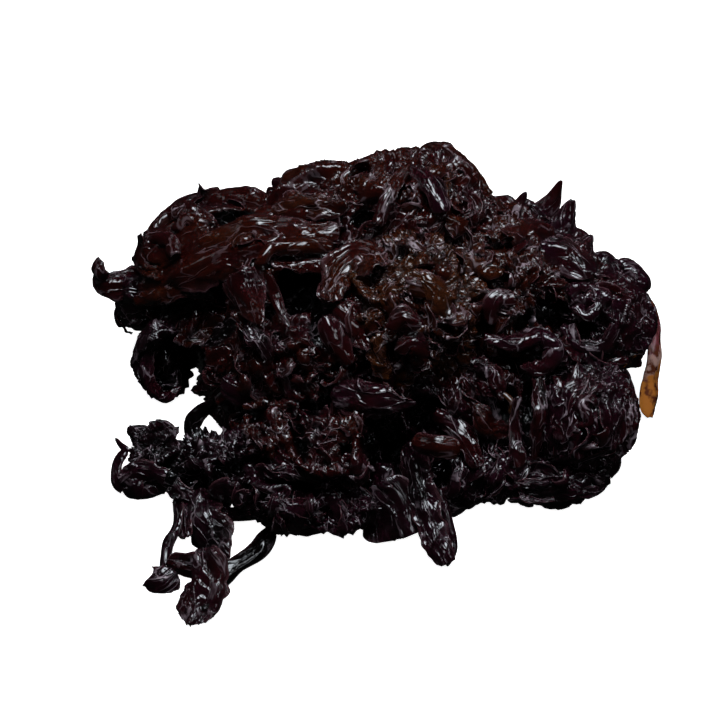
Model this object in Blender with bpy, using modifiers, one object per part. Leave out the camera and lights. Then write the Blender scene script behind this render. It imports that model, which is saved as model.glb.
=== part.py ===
"""A heap of dried laver: crumpled, leathery fronds clumped together and lying on a table.

The heap is one solid. Its wads are creased balls of crumpled frond, its leaves and strands are thin wavy
blades, and one Boolean union joins them. Lengths are in millimetres until the meshes are made.

A place is (across, up): how far right and up it is seen by someone who looks down at the heap from the
front. It lies on the wads or the table where that line of sight meets them, a little nearer by the
blade's lift. A third number sets the height above the table instead.
"""

import math

import bmesh
import bpy
import numpy as np

MM = 0.001

# How the heap is looked at when a place is given.
LOOK_DOWN = math.radians(50)
EYE_DISTANCE = 500
EYE_ACROSS = -5
EYE_UP = 5

# Driving sizes of the heap and of its fronds.
CORE_HALF_SIZES = (46, 37, 42)
MIDDLE = np.array([0, 6, 0])
LEAF_THICKNESS = 0.9
FOLD_SPACING = 17
FOLD_SHARE = 0.2
RUFFLE = 0.9
FLAT_HEIGHT = 0.3

# How finely the wads and blades are divided, and where their sizes call for more.
WIDE_WAD = 12
WIDE_WAD_SIDES = 11, 7
SMALL_WAD_SIDES = 9, 6
LEAF_STEP = 7
LEAST_STATIONS = 4
WIDE_LEAF = 11
WELD = 0.02
TABLE_BOX = 400

# What a frond is made of.
FROND_COLOUR = (0.03, 0.012, 0.011, 1)
FROND_ROUGHNESS = 0.35

TOWARDS_EYE = np.array([0, -math.cos(LOOK_DOWN), math.sin(LOOK_DOWN)])
UPWARDS = np.array([0, math.sin(LOOK_DOWN), math.cos(LOOK_DOWN)])
ACROSS = np.array([1.0, 0, 0])
EYE = TOWARDS_EYE * EYE_DISTANCE + ACROSS * EYE_ACROSS + UPWARDS * EYE_UP

# Wads that show from the front: (across, up, height) of the middle, half sizes along x, y and z, and turn.
WADS = {
    "upper_left": ((-42, 31, 25), (20.5, 15, 14), -8),
    "left_tip": ((-59.5, 17, 13), (7.5, 8, 8), 0),
    "left_lobe": ((-54, 5, 10), (9.5, 10, 9), 0),
    "left_middle": ((-31, 5, 20), (13, 12, 14), 20),
    "left_shoulder": ((-24, 27, 30), (16, 15, 13), 0),
    "ridge_left": ((-13, 40.5, 34), (16, 14, 14), 0),
    "summit": ((5, 39, 34), (24, 18, 18), 0),
    "summit_right": ((16, 44, 34), (10, 11, 15), 0),
    "cave_floor": ((-17, 4, 23), (11, 10, 12), 0),
    "middle_ridge": ((-8, 13, 29), (11, 11, 12), 0),
    "right_middle": ((40, 4, 16), (12, 12, 13), 0),
    "right_inner": ((36, -12, 9), (9, 8, 9), 0),
    "centre": ((8, 16, 31), (17, 17, 18), 0),
    "centre_right": ((29, 20, 27), (16, 16, 17), 0),
    "right_back": ((30, 35, 30), (13, 11, 12), 0),
    "right_shoulder": ((45, 25, 22), (17, 13, 13), -25),
    "right_swirl": ((55.5, 13, 20), (14.5, 12.5, 11.5), 0),
    "right_low": ((50.5, -9.5, 14), (14, 12.5, 13.5), 0),
    "right_foot": ((42, -25, 5), (15, 7, 6), 5),
    "front_right": ((24, -6, 14), (12, 12, 14), 0),
    "front_right_low": ((24, -21, 7), (13, 10, 8), 0),
    "front_middle": ((2, -2, 17), (14, 13, 15), 0),
    "front_left": ((-19, -20, 11), (19, 14, 13), 5),
    "front_left_end": ((-36, -21, 8), (10, 10, 9), 0),
    "arm_root": ((-46, -24, 4), (8, 8, 6), 0),
    "arm": ((-56.5, -17, 5), (9, 8, 6), 20),
}

# Wads round the back, which the front view hides: how many, where on an oval ring, and their half sizes.
BACK_WADS = 5
BACK_WAD_FROM = math.radians(14)
BACK_WAD_TO = math.radians(166)
BACK_RING_HALF_WIDTH = 44
BACK_RING_HALF_DEPTH = 36
BACK_WAD_SIZE = (17, 13, 15)
BACK_WAD_HEIGHT = 13

# Fronds over the back and sides, spread evenly by a spiral: how many there would be all round, how far they
# come to the front, and the ranges of their length, width, lift and roll.
FROND_COUNT = 60
FRONT_LIMIT = -0.2
FROND_LENGTH = (14, 24)
FROND_WIDTH = (8, 15)
FROND_LIFT = (0, 3)
FROND_ROLL = (-0.5, 0.5)
FROND_BEND = 0.8
FROND_RISE = 1.5
FROND_SEED = 4
GOLDEN_ANGLE = math.pi * (3 - math.sqrt(5))

# Blades: the places that the middle line runs through, widths at its start, middle and end, how far the
# blade bends across (radians each side of its middle line) and its lift.
BLADES = {
    "big_lobe": (((-20, 42), (-36, 38), (-50, 33), (-66, 24)), (10, 22, 7), 0.7, 4),
    "hook": (((-62, 23.5, 20), (-67.5, 23.5, 20), (-70.5, 26, 22), (-70, 30.5, 26)), (7, 7, 3), 0.9, 0),
    "lobe_point": (((-44, 44, 30), (-45, 47, 33), (-45.5, 49.5, 36)), (7, 4, 1), 0.6, 0),
    "back_ridge": (((-27, 47, 36), (-19, 51, 40), (-9, 54, 44), (2, 56, 46)), (6, 8, 8), 1.0, 1),
    "ridge_end": (((-24, 42, 34), (-27, 46.5, 36), (-24, 50, 38)), (6, 7, 4), 0.8, 1),
    "brown_band": (((-42, 46, 30), (-30, 46), (-15, 43.5), (-2, 45)), (6, 9, 6), 0.8, 3),
    "cave_lip": (((-28.5, 27), (-27, 33), (-20, 35), (-11, 32.5)), (4, 8, 5), 1.2, 6),
    "petal": (((-13, 21.5), (-9, 29), (-2.5, 32), (3, 29.5)), (7, 14, 9), 0.7, 5),
    "petal_under": (((-9, 23), (-5, 17.5), (-1, 12)), (9, 15, 6), 0.7, 3),
    "hood": (((-34, 19), (-46, 20), (-56, 14), (-61, 5), (-57, -4)), (12, 11, 6), 0.9, 3),
    "left_skirt": (((-53, 12), (-43, 9), (-34, 10)), (10, 17, 12), 0.6, 3),
    "wedge_fold": (((-32, 27), (-33, 20), (-34, 14)), (12, 9, 2), 0.8, 4),
    "thin_fold": (((-29, 26), (-26, 20), (-23, 13)), (6, 5, 2), 1.0, 4),
    "raisin": (((-25, 1), (-23, -4), (-21, -9)), (4, 7, 3), 1.6, 4),
    "purple_front": (((-12, -3), (-2, -5), (8, -3)), (7, 13, 6), 0.8, 2),
    "arch_left": (((-1, 38), (1, 46), (6, 53)), (6, 6, 5), 1.4, 4),
    "arch_right": (((6, 53), (11, 49), (15, 43)), (5, 9, 6), 1.0, 4),
    "crest": (((5, 55, 47), (12, 58, 48), (18, 57.5, 47), (24, 52, 43)), (8, 9, 7), 1.0, 1),
    "right_slope": (((22, 49, 40), (28, 45, 38), (35, 42, 34)), (7, 9, 7), 0.9, 1),
    "frill_point": (((38, 38, 30), (41, 43, 34), (45, 50, 39)), (12, 10, 1), 0.6, 0),
    "frill_wide": (((41, 34, 28), (45.5, 38, 31), (48.5, 43, 33)), (9, 12, 4), 0.5, 0),
    "frill_small": (((40, 41, 31), (37.5, 44, 33), (35.5, 47, 35)), (8, 5, 1.5), 0.6, 0),
    "frill_knob": (((46, 34, 27), (50, 35.5, 27), (52.5, 34, 26)), (8, 6, 4), 0.6, 0),
    "purple_band": (((32, 32), (42, 36), (50, 35)), (6, 10, 8), 0.8, 4),
    "purple_slope": (((35, 29), (44, 31), (53, 27)), (7, 13, 9), 0.8, 4),
    "right_frill": (((50, 29, 24), (57, 29, 24), (64, 26, 21)), (7, 9, 7), 0.7, 0),
    "right_tip": (((60, 22, 19), (63, 25, 20), (66, 28, 21)), (7, 8, 5), 0.7, 0),
    "loop": (((29, 13), (37, 9), (43, 8), (41, 4), (33, 5)), (6, 7, 5), 0.9, 6),
    "star_fold": (((18, 0), (27, -2), (32, -7)), (7, 11, 1), 0.8, 4),
    "red_strip": (((4, -15, 16), (11, -17, 18), (18, -17.5, 17)), (5, 6, 6), 0.5, 0),
    "hanging_strip": (((7, -14, 17), (9, -25, 11), (12.5, -36, 6), (16.5, -46, 3)), (9, 11, 7), 0.9, 1),
    "dark_sheet": (((-3, -24, 10), (1, -32, 6), (3, -39, 2.5)), (12, 17, 15), 0.4, 1),
    "upright_fold": (((40, 3), (39, -8), (40, -20)), (5, 7, 6), 1.4, 5),
    "swirl_rim": (((44, 16), (50, 21), (60, 20), (66, 12)), (5, 7, 5), 1.0, 4),
    "stipe": (((64, 21, 19), (69, 13, 15), (69, 1, 8), (67.5, -8, 2.5)), (4, 4, 4), 0.9, 1),
    "dark_strand": (((-41, -2, 13), (-47, -8, 9), (-47, -14, 6), (-45, -20, 5)), (4, 6, 5), 0.8, 1),
    "arm_rim": (((-66, -23, 4), (-59, -23, 7), (-50, -27, 6), (-44, -33, 3)), (7, 9, 8), 0.7, 1),
    "arm_tip": (((-64, -25, 4), (-61, -28, 3), (-59.5, -31, 1)), (8, 8, 2), 0.5, 1),
    "arm_loop": (((-64, -14, 5), (-67.5, -21, 4), (-65.5, -28, 1)), (3, 4, 4), 0.6, 1),
    "stem_left": (((-50, -29, 4), (-50.5, -36, 3), (-53, -42, 3), (-55, -48, 2)), (6, 4, 4), 0.6, 1),
    "stem_broad": (((-46, -29, 4), (-45.5, -36, 4), (-43, -42, 3), (-38.5, -50, 2)), (14, 15, 5), 0.6, 1),
    "lower_frond": (((-45, -41, 4), (-45, -49, 4), (-45.5, -55, 3), (-46.5, -61.5, 1)), (15, 14, 7), 0.6, 1),
    "long_strand": (((-27, -37, 3), (-33, -45.5, 3), (-39, -52, 2), (-44, -59, 2)), (5, 5, 5), 0.8, 1),
    "small_tip": (((-52, -44, 3), (-55.5, -49.5, 2.5), (-56.5, -54, 1)), (5, 9, 5), 0.5, 1),
    "front_rim": (((-46, -31, 3), (-37, -34, 2), (-29, -33, 2)), (7, 6, 7), 0.8, 1),
    "front_skirt": (((-31, -34, 2), (-20, -36, 2), (-7, -34, 3)), (9, 9, 9), 0.7, 1),
    "front_flap": (((13, -27, 6), (20, -31.5, 3), (28, -29, 3)), (8, 9, 5), 0.6, 1),
    "foot_skirt": (((31, -29, 2), (42, -29.5, 2), (53, -28.5, 3)), (6, 7, 6), 0.6, 1),
}


def unit(vectors):
    return vectors / np.linalg.norm(vectors, axis=-1, keepdims=True)


def turned_by(turn):
    """The matrix that takes a point into the axes of a wad that is turned about +Z."""
    cosine, sine = math.cos(turn), math.sin(turn)
    return np.array([[cosine, sine, 0], [-sine, cosine, 0], [0, 0, 1]])


def crossings(start, way, wads):
    """The shares of the way at which a straight line from the start enters and leaves each wad it meets."""
    for middle, half_sizes, turn in wads:
        begin = turned_by(turn) @ (start - middle) / half_sizes
        run = turned_by(turn) @ way / half_sizes
        square, half_linear, level = run @ run, begin @ run, begin @ begin - 1
        root = half_linear**2 - square * level
        if root > 0:
            yield (-half_linear - math.sqrt(root)) / square, (-half_linear + math.sqrt(root)) / square


def seat(across, up, height):
    """The point at this height above the table that the eye sees at (across, up)."""
    seen = ACROSS * across + UPWARDS * up
    share = (EYE[2] - height) / (EYE[2] - seen[2])
    return EYE + (seen - EYE) * share


def rest(across, up, lift, wads):
    """Where the line of sight at (across, up) first meets a wad or the table, lifted towards the eye."""
    way = ACROSS * across + UPWARDS * up - EYE
    to_table = -EYE[2] / way[2]
    share = min([to_table, *(enters for enters, leaves in crossings(EYE, way, wads))])
    return EYE + way * (share - lift / np.linalg.norm(way))


def farthest(way, wads):
    """The outermost point of the wads on a straight way out from the heap's middle."""
    return MIDDLE + way * max(leaves for enters, leaves in crossings(MIDDLE, way, wads))


def folds(points):
    """Creases about zero: rounded backs with sharp valleys, on waves that bend into each other."""
    turns = points * (math.pi / FOLD_SPACING)
    bent = turns + 0.7 * np.sin(turns[:, [1, 2, 0]] * 1.3 + 0.6)
    first = np.abs(np.sin(bent[:, 0] + 0.6 * bent[:, 1]))
    second = np.abs(np.sin(bent[:, 2] - 0.8 * bent[:, 1] + 0.4 * bent[:, 0] + 1))
    return first + second - 4 / math.pi


def back_wads():
    """Wads evenly spaced round the far side of the heap."""
    for angle in np.linspace(BACK_WAD_FROM, BACK_WAD_TO, BACK_WADS):
        x = BACK_RING_HALF_WIDTH * math.cos(angle)
        y = BACK_RING_HALF_DEPTH * math.sin(angle)
        yield MIDDLE + np.array([x, y, BACK_WAD_HEIGHT]), BACK_WAD_SIZE, angle - math.pi / 2


def spread_fronds(wads):
    """The middle line, widths, bend and roll of each frond that lies over the back and sides."""
    random = np.random.default_rng(FROND_SEED)
    for number in range(FROND_COUNT):
        height = 1 - (number + 0.5) / FROND_COUNT
        angle = number * GOLDEN_ANGLE
        level = math.sqrt(1 - height**2)
        outward = np.array([level * math.cos(angle), level * math.sin(angle), height])
        turn = random.uniform(0, math.pi)
        length, width = random.uniform(*FROND_LENGTH), random.uniform(*FROND_WIDTH)
        lift, roll = random.uniform(*FROND_LIFT), random.uniform(*FROND_ROLL)
        if outward @ TOWARDS_EYE > FRONT_LIMIT:
            continue
        middle = farthest(outward, wads)
        level_way = unit(np.cross([0, 0, 1], outward))
        along = level_way * math.cos(turn) + np.cross(outward, level_way) * math.sin(turn)
        ends = along * length / 2
        line = [middle - ends, middle + outward * FROND_RISE, middle + ends + outward * lift]
        yield line, (width * 0.6, width, width * 0.4), FROND_BEND, roll


def smooth_line(points, stations):
    """A Catmull-Rom curve through the points, at this many even steps."""
    ends = [2 * points[0] - points[1], *points, 2 * points[-1] - points[-2]]
    line = []
    for where in np.linspace(0, len(points) - 1, stations):
        first = min(int(where), len(points) - 2)
        a, b, c, d = ends[first:first + 4]
        t = where - first
        line.append(0.5 * (2 * b + (c - a) * t + (2 * a - 5 * b + 4 * c - d) * t**2
                           + (3 * b - a - 3 * c + d) * t**3))
    return np.array(line)


def finish_mesh(name, mesh_data, points, collection):
    """Puts the mesh's points in their places, in metres, and makes its object."""
    for vertex, point in zip(mesh_data.verts, points):
        vertex.co = point * MM
    mesh = bpy.data.meshes.new(name)
    mesh_data.to_mesh(mesh)
    mesh_data.free()
    made = bpy.data.objects.new(name, mesh)
    collection.objects.link(made)
    return made


def make_wad(name, middle, half_sizes, turn, collection):
    """A ball of crumpled frond: a sphere stretched to its half sizes and creased by the folds."""
    mesh_data = bmesh.new()
    sides, rings = WIDE_WAD_SIDES if max(half_sizes) > WIDE_WAD else SMALL_WAD_SIDES
    bmesh.ops.create_uvsphere(mesh_data, u_segments=sides, v_segments=rings, radius=1)
    round_points = np.array([vertex.co for vertex in mesh_data.verts])
    stretched = round_points * np.array(half_sizes) @ turned_by(turn)
    swell = 1 + FOLD_SHARE * folds(stretched + middle)
    return finish_mesh(name, mesh_data, middle + stretched * swell[:, None], collection)


def blade_axes(line, roll):
    """The blade's sideways and outward directions along its middle line."""
    along = unit(np.gradient(line, axis=0))
    outward = unit(line - MIDDLE)
    if (outward @ TOWARDS_EYE).mean() > 0:
        outward = unit(outward + TOWARDS_EYE)
    side = unit(np.cross(along, outward))
    normal = np.cross(side, along)
    cosine, sine = math.cos(roll), math.sin(roll)
    return side * cosine + normal * sine, normal * cosine - side * sine


def make_blade(name, points, widths, bend, roll, collection):
    """A thin wavy blade: a grid bent along its middle line and across it, ruffled, then thickened."""
    length = sum(np.linalg.norm(after - before) for before, after in zip(points, points[1:]))
    stations = max(LEAST_STATIONS, round(length / LEAF_STEP) + 1)
    line = smooth_line(np.array(points), stations)
    side, normal = blade_axes(line, roll)
    half_widths = np.interp(np.linspace(0, 2, stations), range(3), widths) / 2

    mesh_data = bmesh.new()
    rows = 3 if max(widths) > WIDE_LEAF else 2
    bmesh.ops.create_grid(mesh_data, x_segments=stations - 1, y_segments=rows, size=1)
    flat = np.array([vertex.co for vertex in mesh_data.verts])
    station = np.rint((flat[:, 0] + 1) / 2 * (stations - 1)).astype(int)
    angle = bend * flat[:, 1]
    sideways = half_widths[station] * np.sin(angle) / bend
    downwards = half_widths[station] * (1 - np.cos(angle)) / bend
    ruffles = RUFFLE * np.cos(math.pi * (station + (flat[:, 1] > 0))) * flat[:, 1]**2
    bent = line[station] + side[station] * sideways[:, None]
    bent += normal[station] * (ruffles - downwards)[:, None]
    made = finish_mesh(name, mesh_data, bent, collection)

    split = made.modifiers.new("split", "TRIANGULATE")
    split.quad_method = "FIXED"
    wall = made.modifiers.new("thickness", "SOLIDIFY")
    wall.thickness = LEAF_THICKNESS * MM
    wall.offset = 0
    return made


def make_pieces(collection):
    """The core, the wads and the blades, each an object of its own."""
    wads = [(MIDDLE, CORE_HALF_SIZES, 0), *back_wads()]
    for place, half_sizes, turn in WADS.values():
        wads.append((seat(*place), half_sizes, math.radians(turn)))
    pieces = [make_wad(f"wad_{number}", *wad, collection) for number, wad in enumerate(wads)]
    for name, (places, widths, bend, lift) in BLADES.items():
        points = [seat(*place) if len(place) == 3 else rest(*place, lift, wads) for place in places]
        pieces.append(make_blade(name, points, widths, bend, 0, collection))
    for number, frond in enumerate(spread_fronds(wads)):
        pieces.append(make_blade(f"frond_{number}", *frond, collection))
    return pieces


def make_table_box(collection):
    """A block whose top is the flat that the heap rests on."""
    side = TABLE_BOX * MM
    bpy.ops.mesh.primitive_cube_add(size=side, location=(0, 0, FLAT_HEIGHT * MM - side / 2))
    box = bpy.context.object
    box.name = "table_box"
    box.hide_render = True
    box.display_type = "WIRE"
    for holder in list(box.users_collection):
        holder.objects.unlink(box)
    collection.objects.link(box)
    return box


def join_all(pieces, collection, helpers):
    """One Boolean union of every piece, cut flat by the table box and applied; the pieces are removed."""
    first, others = pieces[0], pieces[1:]
    joined = bpy.data.collections.new("to_join")
    bpy.context.scene.collection.children.link(joined)
    for piece in others:
        collection.objects.unlink(piece)
        joined.objects.link(piece)
    union = first.modifiers.new("union", "BOOLEAN")
    union.operation = "UNION"
    union.operand_type = "COLLECTION"
    union.collection = joined
    union.solver = "MANIFOLD"
    cut = first.modifiers.new("table", "BOOLEAN")
    cut.operation = "DIFFERENCE"
    cut.object = make_table_box(helpers)
    cut.solver = "MANIFOLD"
    evaluated = first.evaluated_get(bpy.context.evaluated_depsgraph_get())
    heap = bpy.data.objects.new("laver_heap", bpy.data.meshes.new_from_object(evaluated))
    collection.objects.link(heap)
    for old in pieces:
        bpy.data.objects.remove(old)
    bpy.data.collections.remove(joined)
    return heap


def shells_of(mesh_data):
    """The faces of each connected shell; an edge where two shells touch doesn't connect them."""
    left = set(mesh_data.faces)
    while left:
        shell, front = set(), [left.pop()]
        while front:
            face = front.pop()
            shell.add(face)
            pairs = [edge.link_faces for edge in face.edges if len(edge.link_faces) == 2]
            near = {other for pair in pairs for other in pair} & left
            left -= near
            front.extend(near)
        yield shell


def keep_outer_shell(mesh_data):
    """Drops loose scraps, and the walls of sealed hollows, which fills them."""
    shells = sorted(shells_of(mesh_data), key=len)
    for shell in shells[:-1]:
        bmesh.ops.delete(mesh_data, geom=list(shell), context="FACES")


def tidy(heap):
    """Leaves one closed triangulated shell, with the origin under the middle of its box."""
    mesh_data = bmesh.new()
    mesh_data.from_mesh(heap.data)
    bmesh.ops.triangulate(mesh_data, faces=mesh_data.faces)
    keep_outer_shell(mesh_data)
    bmesh.ops.remove_doubles(mesh_data, verts=mesh_data.verts, dist=WELD * MM)
    keep_outer_shell(mesh_data)
    places = np.array([vertex.co for vertex in mesh_data.verts])
    low, high = places.min(axis=0), places.max(axis=0)
    shift = [-(low[0] + high[0]) / 2, -(low[1] + high[1]) / 2, -low[2]]
    bmesh.ops.translate(mesh_data, verts=mesh_data.verts, vec=shift)
    mesh_data.to_mesh(heap.data)
    mesh_data.free()
    print("moved by", [round(float(part) / MM, 3) for part in shift], "mm")


def give_material(heap):
    material = bpy.data.materials.new("laver")
    material.use_nodes = True
    shader = material.node_tree.nodes["Principled BSDF"]
    shader.inputs["Base Color"].default_value = FROND_COLOUR
    shader.inputs["Roughness"].default_value = FROND_ROUGHNESS
    shader.inputs["Metallic"].default_value = 0
    heap.data.materials.clear()
    heap.data.materials.append(material)


def main():
    for old in list(bpy.data.objects):
        bpy.data.objects.remove(old)
    collections = [bpy.data.collections.new(name) for name in ("dried_laver", "helpers")]
    for made in collections:
        bpy.context.scene.collection.children.link(made)
    heap = join_all(make_pieces(collections[0]), *collections)
    tidy(heap)
    give_material(heap)


main()
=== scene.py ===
import math

import bpy
import numpy as np
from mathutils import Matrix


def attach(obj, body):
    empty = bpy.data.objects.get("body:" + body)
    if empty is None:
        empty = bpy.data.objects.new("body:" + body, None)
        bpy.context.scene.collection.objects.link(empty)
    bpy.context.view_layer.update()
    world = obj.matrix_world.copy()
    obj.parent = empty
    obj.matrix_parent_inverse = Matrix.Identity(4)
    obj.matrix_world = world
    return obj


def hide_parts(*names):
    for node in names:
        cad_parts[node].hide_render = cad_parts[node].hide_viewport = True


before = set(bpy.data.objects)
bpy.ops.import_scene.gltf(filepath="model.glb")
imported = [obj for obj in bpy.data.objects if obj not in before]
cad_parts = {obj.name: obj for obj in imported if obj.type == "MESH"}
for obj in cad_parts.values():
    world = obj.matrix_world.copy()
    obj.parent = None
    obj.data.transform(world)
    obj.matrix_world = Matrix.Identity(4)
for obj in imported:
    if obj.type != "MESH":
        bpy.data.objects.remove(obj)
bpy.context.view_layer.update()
print("frame loaded")

# Lengths are millimetres until a mesh is made.
mm = 0.001

# How the photograph looks at the heap. A place is (across, up) in its picture plane, as the eye sees it. A
# third number sets its height above the table.
photoView = {
    "lookDown": 50,       # degrees
    "eyeDistance": 500,
    "eyeAcross": -5,
    "eyeUp": 5,
    "lens": 100,
    "sensorWidth": 36,
}
lookDown = math.radians(photoView["lookDown"])
towardsEye = np.array([0, -math.cos(lookDown), math.sin(lookDown)])
upwards = np.array([0, math.sin(lookDown), math.cos(lookDown)])
across = np.array([1.0, 0, 0])
eye = towardsEye * photoView["eyeDistance"] + across * photoView["eyeAcross"] + upwards * photoView["eyeUp"]

# The places were measured before the CAD centred the heap, and it then moved by this much.
heapShift = np.array([0.97, 8.76, -0.3])
heapMiddle = np.array([0.0, 6.0, 0.0])


def unit(vectors):
    # each vector over its own length
    return vectors / np.maximum(np.linalg.norm(vectors, axis=-1, keepdims=True), 1e-9)


slopes = unit(np.random.default_rng(11).normal(size=(256, 4, 3))).astype(np.float32)


def latticeNoise(points, channels=1, seed=0):
    # Every corner of a point's unit cell has a random slope for each channel. The noise is the slope times
    # the way from the corner, blended between the corners by 6t^5 - 15t^4 + 10t^3.
    points = np.asarray(points, np.float32)
    cell = np.floor(points).astype(np.int64)
    part = (points - cell).astype(np.float32)
    fade = part**3 * (part * (part * 6 - 15) + 10)
    total = np.zeros(points.shape[:-1] + (channels,), np.float32)
    for corner in range(8):
        step = np.array([corner & 1, corner >> 1 & 1, corner >> 2])
        x, y, z = np.moveaxis(cell + step, -1, 0)
        key = x * 73856093 ^ y * 19349663 ^ z * 83492791 ^ (seed + 1) * 40503
        key = (key ^ key >> 13) * 1274126177
        slope = slopes[(key ^ key >> 16) & 255, :channels]
        way = part - step.astype(np.float32)
        weight = np.where(step == 1, fade, 1 - fade).prod(axis=-1)
        total += weight[..., None] * np.einsum("...cd,...d->...c", slope, way)
    return total * 1.6


spots = np.random.default_rng(12).uniform(0.1, 0.9, (256, 3)).astype(np.float32)


def cellBorder(points, seed):
    # Each unit cell has one middle at a random spot. This is how much farther the second nearest middle is
    # than the nearest.
    points = np.asarray(points, np.float32)
    cell = np.floor(points).astype(np.int64)
    nearest = np.full(points.shape[:-1], 9, np.float32)
    second = nearest.copy()
    for number in range(27):
        step = np.array([number % 3, number // 3 % 3, number // 9]) - 1
        x, y, z = np.moveaxis(cell + step, -1, 0)
        key = x * 73856093 ^ y * 19349663 ^ z * 83492791 ^ (seed + 1) * 40503
        key = (key ^ key >> 13) * 1274126177
        far = np.linalg.norm(points - (cell + step) - spots[(key ^ key >> 16) & 255], axis=-1)
        second = np.minimum(second, np.maximum(nearest, far))
        nearest = np.minimum(nearest, far)
    return second - nearest


# Sizes and depths of each kind of frond: folds are broad and round, layers are the stepped edges of sheets
# that lie on each other, and creases are sharp crests with hollows between. Stretch is how much longer than
# wide they are, grain sizes the finest ridges, busy is how strong those are, and torn is how ragged a leaf's
# edge is.
finishes = {
    "smooth": {
        "folds": (14, 2.6), "layers": (10, 0.9), "creases": (6, 0.6),
        "stretch": 2.2, "grain": 0.8, "busy": 0.3, "torn": 0.5,
    },
    "leathery": {
        "folds": (10, 3.4), "layers": (8, 1.1), "creases": (4.5, 0.9),
        "stretch": 2.0, "grain": 0.9, "busy": 0.55, "torn": 0.8,
    },
    "crinkled": {
        "folds": (8, 3.4), "layers": (7, 1.1), "creases": (3.6, 1.2),
        "stretch": 1.4, "grain": 1.0, "busy": 0.9, "torn": 1.0,
    },
    "wrinkled": {
        "folds": (9, 2.0), "layers": (10, 0.4), "creases": (3.2, 0.9),
        "stretch": 3.0, "grain": 1.0, "busy": 1.0, "torn": 0.8,
    },
    "strand": {
        "folds": (9, 1.0), "layers": (9, 0.2), "creases": (5, 0.4),
        "stretch": 3.0, "grain": 0.9, "busy": 0.3, "torn": 0.2,
    },
}
crumpleForm = {
    "foldBend": (0.45, 0.9),      # how far slower noise bends the folds, and its cells beside theirs
    "foldCrest": 2.2,             # how narrow a fold's crest is
    "foldSwell": 0.8,             # height of the slow swells beside the crests
    "sheets": 3.5,                # how many sheet edges one swell of noise crosses
    "sheetEdge": 8,               # how steep a sheet's edge is
    "creaseBend": (0.4, 0.7),
    "creaseCrest": 3.2,
    "fineCreases": (1.9, 0.55),   # how many more there are, and their height beside the others'
    "foldMiddle": 0.35,           # taken off, so that the surface stays about where it was
    "sheetMiddle": 0.4,
    "creaseMiddle": 0.35,
}


def stretched(points, flow, stretch):
    # points drawn together along the flow, so that what is laid out on them runs along it
    return points - flow * (points @ flow)[..., None] * (1 - 1 / stretch)


def foldHeight(points, finish, seed):
    # Noise bent by slower noise: where it is near 0 a sharp crest stands, and a second channel gives slow
    # swells. Added to it is a rising saw of more noise, whose drops are the edges of sheets.
    size, depth = finish["folds"]
    bendBy, bendCells = crumpleForm["foldBend"]
    bent = points / size
    bent = bent + bendBy * latticeNoise(bent * bendCells, 3, seed)
    layerSize, layerDepth = finish["layers"]
    first = latticeNoise(bent, 2, seed + 1)
    sheet = latticeNoise(bent * size / layerSize, 2, seed + 2)[..., 0] * crumpleForm["sheets"]
    saw = sheet - np.floor(sheet)
    step = saw * np.minimum(1, (1 - saw) * crumpleForm["sheetEdge"])
    ridge = (1 - np.minimum(1, np.abs(first[..., 0]) * crumpleForm["foldCrest"]))**2
    folds = depth * (ridge - crumpleForm["foldMiddle"] + crumpleForm["foldSwell"] * first[..., 1])
    return folds + layerDepth * (step - crumpleForm["sheetMiddle"])


def creaseHeight(points, finish, seed):
    # Cells round scattered middles, bent by slow noise, each hollow, with a sharp crest where a cell's middle
    # and the next are as near: e to the power of minus how much nearer one is. Smaller, lower ones are added.
    size, depth = finish["creases"]
    bendBy, bendCells = crumpleForm["creaseBend"]
    fineCells, fineShare = crumpleForm["fineCreases"]
    bent = points / size
    bent = bent + bendBy * latticeNoise(bent * bendCells, 3, seed)

    def crest(where, number):
        return np.exp(-crumpleForm["creaseCrest"] * cellBorder(where, number)) - crumpleForm["creaseMiddle"]

    return depth * (crest(bent, seed + 1) + fineShare * crest(bent * fineCells, seed + 2))


def gridNormals(points, like):
    # the cross product of the steps along the grid's two ways, turned to the side that like points to
    normals = unit(np.cross(np.gradient(points, axis=0), np.gradient(points, axis=1)))
    side = np.sign((normals * like).sum(axis=-1, keepdims=True))
    return normals * np.where(side == 0, 1, side)


def crumple(points, normals, flow, finish, seed, kept=None, outline=None):
    # Folds, then creases, pushed out along the normals that the folds left, so that ridges lean and bulge.
    # Returns the points, normals, how high the creases stand, and where the pattern was laid.
    kept = np.ones(points.shape[:-1], bool) if kept is None else kept
    laid = stretched(points if outline is None else outline, flow, finish["stretch"])
    crest = np.zeros(points.shape[:-1], np.float32)
    for heightOf, key, shift in ((foldHeight, "folds", 0), (creaseHeight, "creases", 5)):
        height = np.zeros(points.shape[:-1], np.float32)
        height[kept] = heightOf(laid[kept], finish, seed + shift)
        points = points + normals * height[..., None]
        normals = gridNormals(points, normals)
        crest = crest * 0.5 + height / max(finish[key][1], 0.01)
    return points, normals, crest, laid * finish["grain"]


lowest = 0.00002    # metres, as near to the table as a point may come
pieceParts = {}


def addPart(piece, points, faces, tone, crest, edge, busy, laid):
    # keeps one closed surface for the piece that it belongs to
    pieceParts.setdefault(piece, []).append((points, faces, tone, crest, edge, busy, laid))


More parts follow.
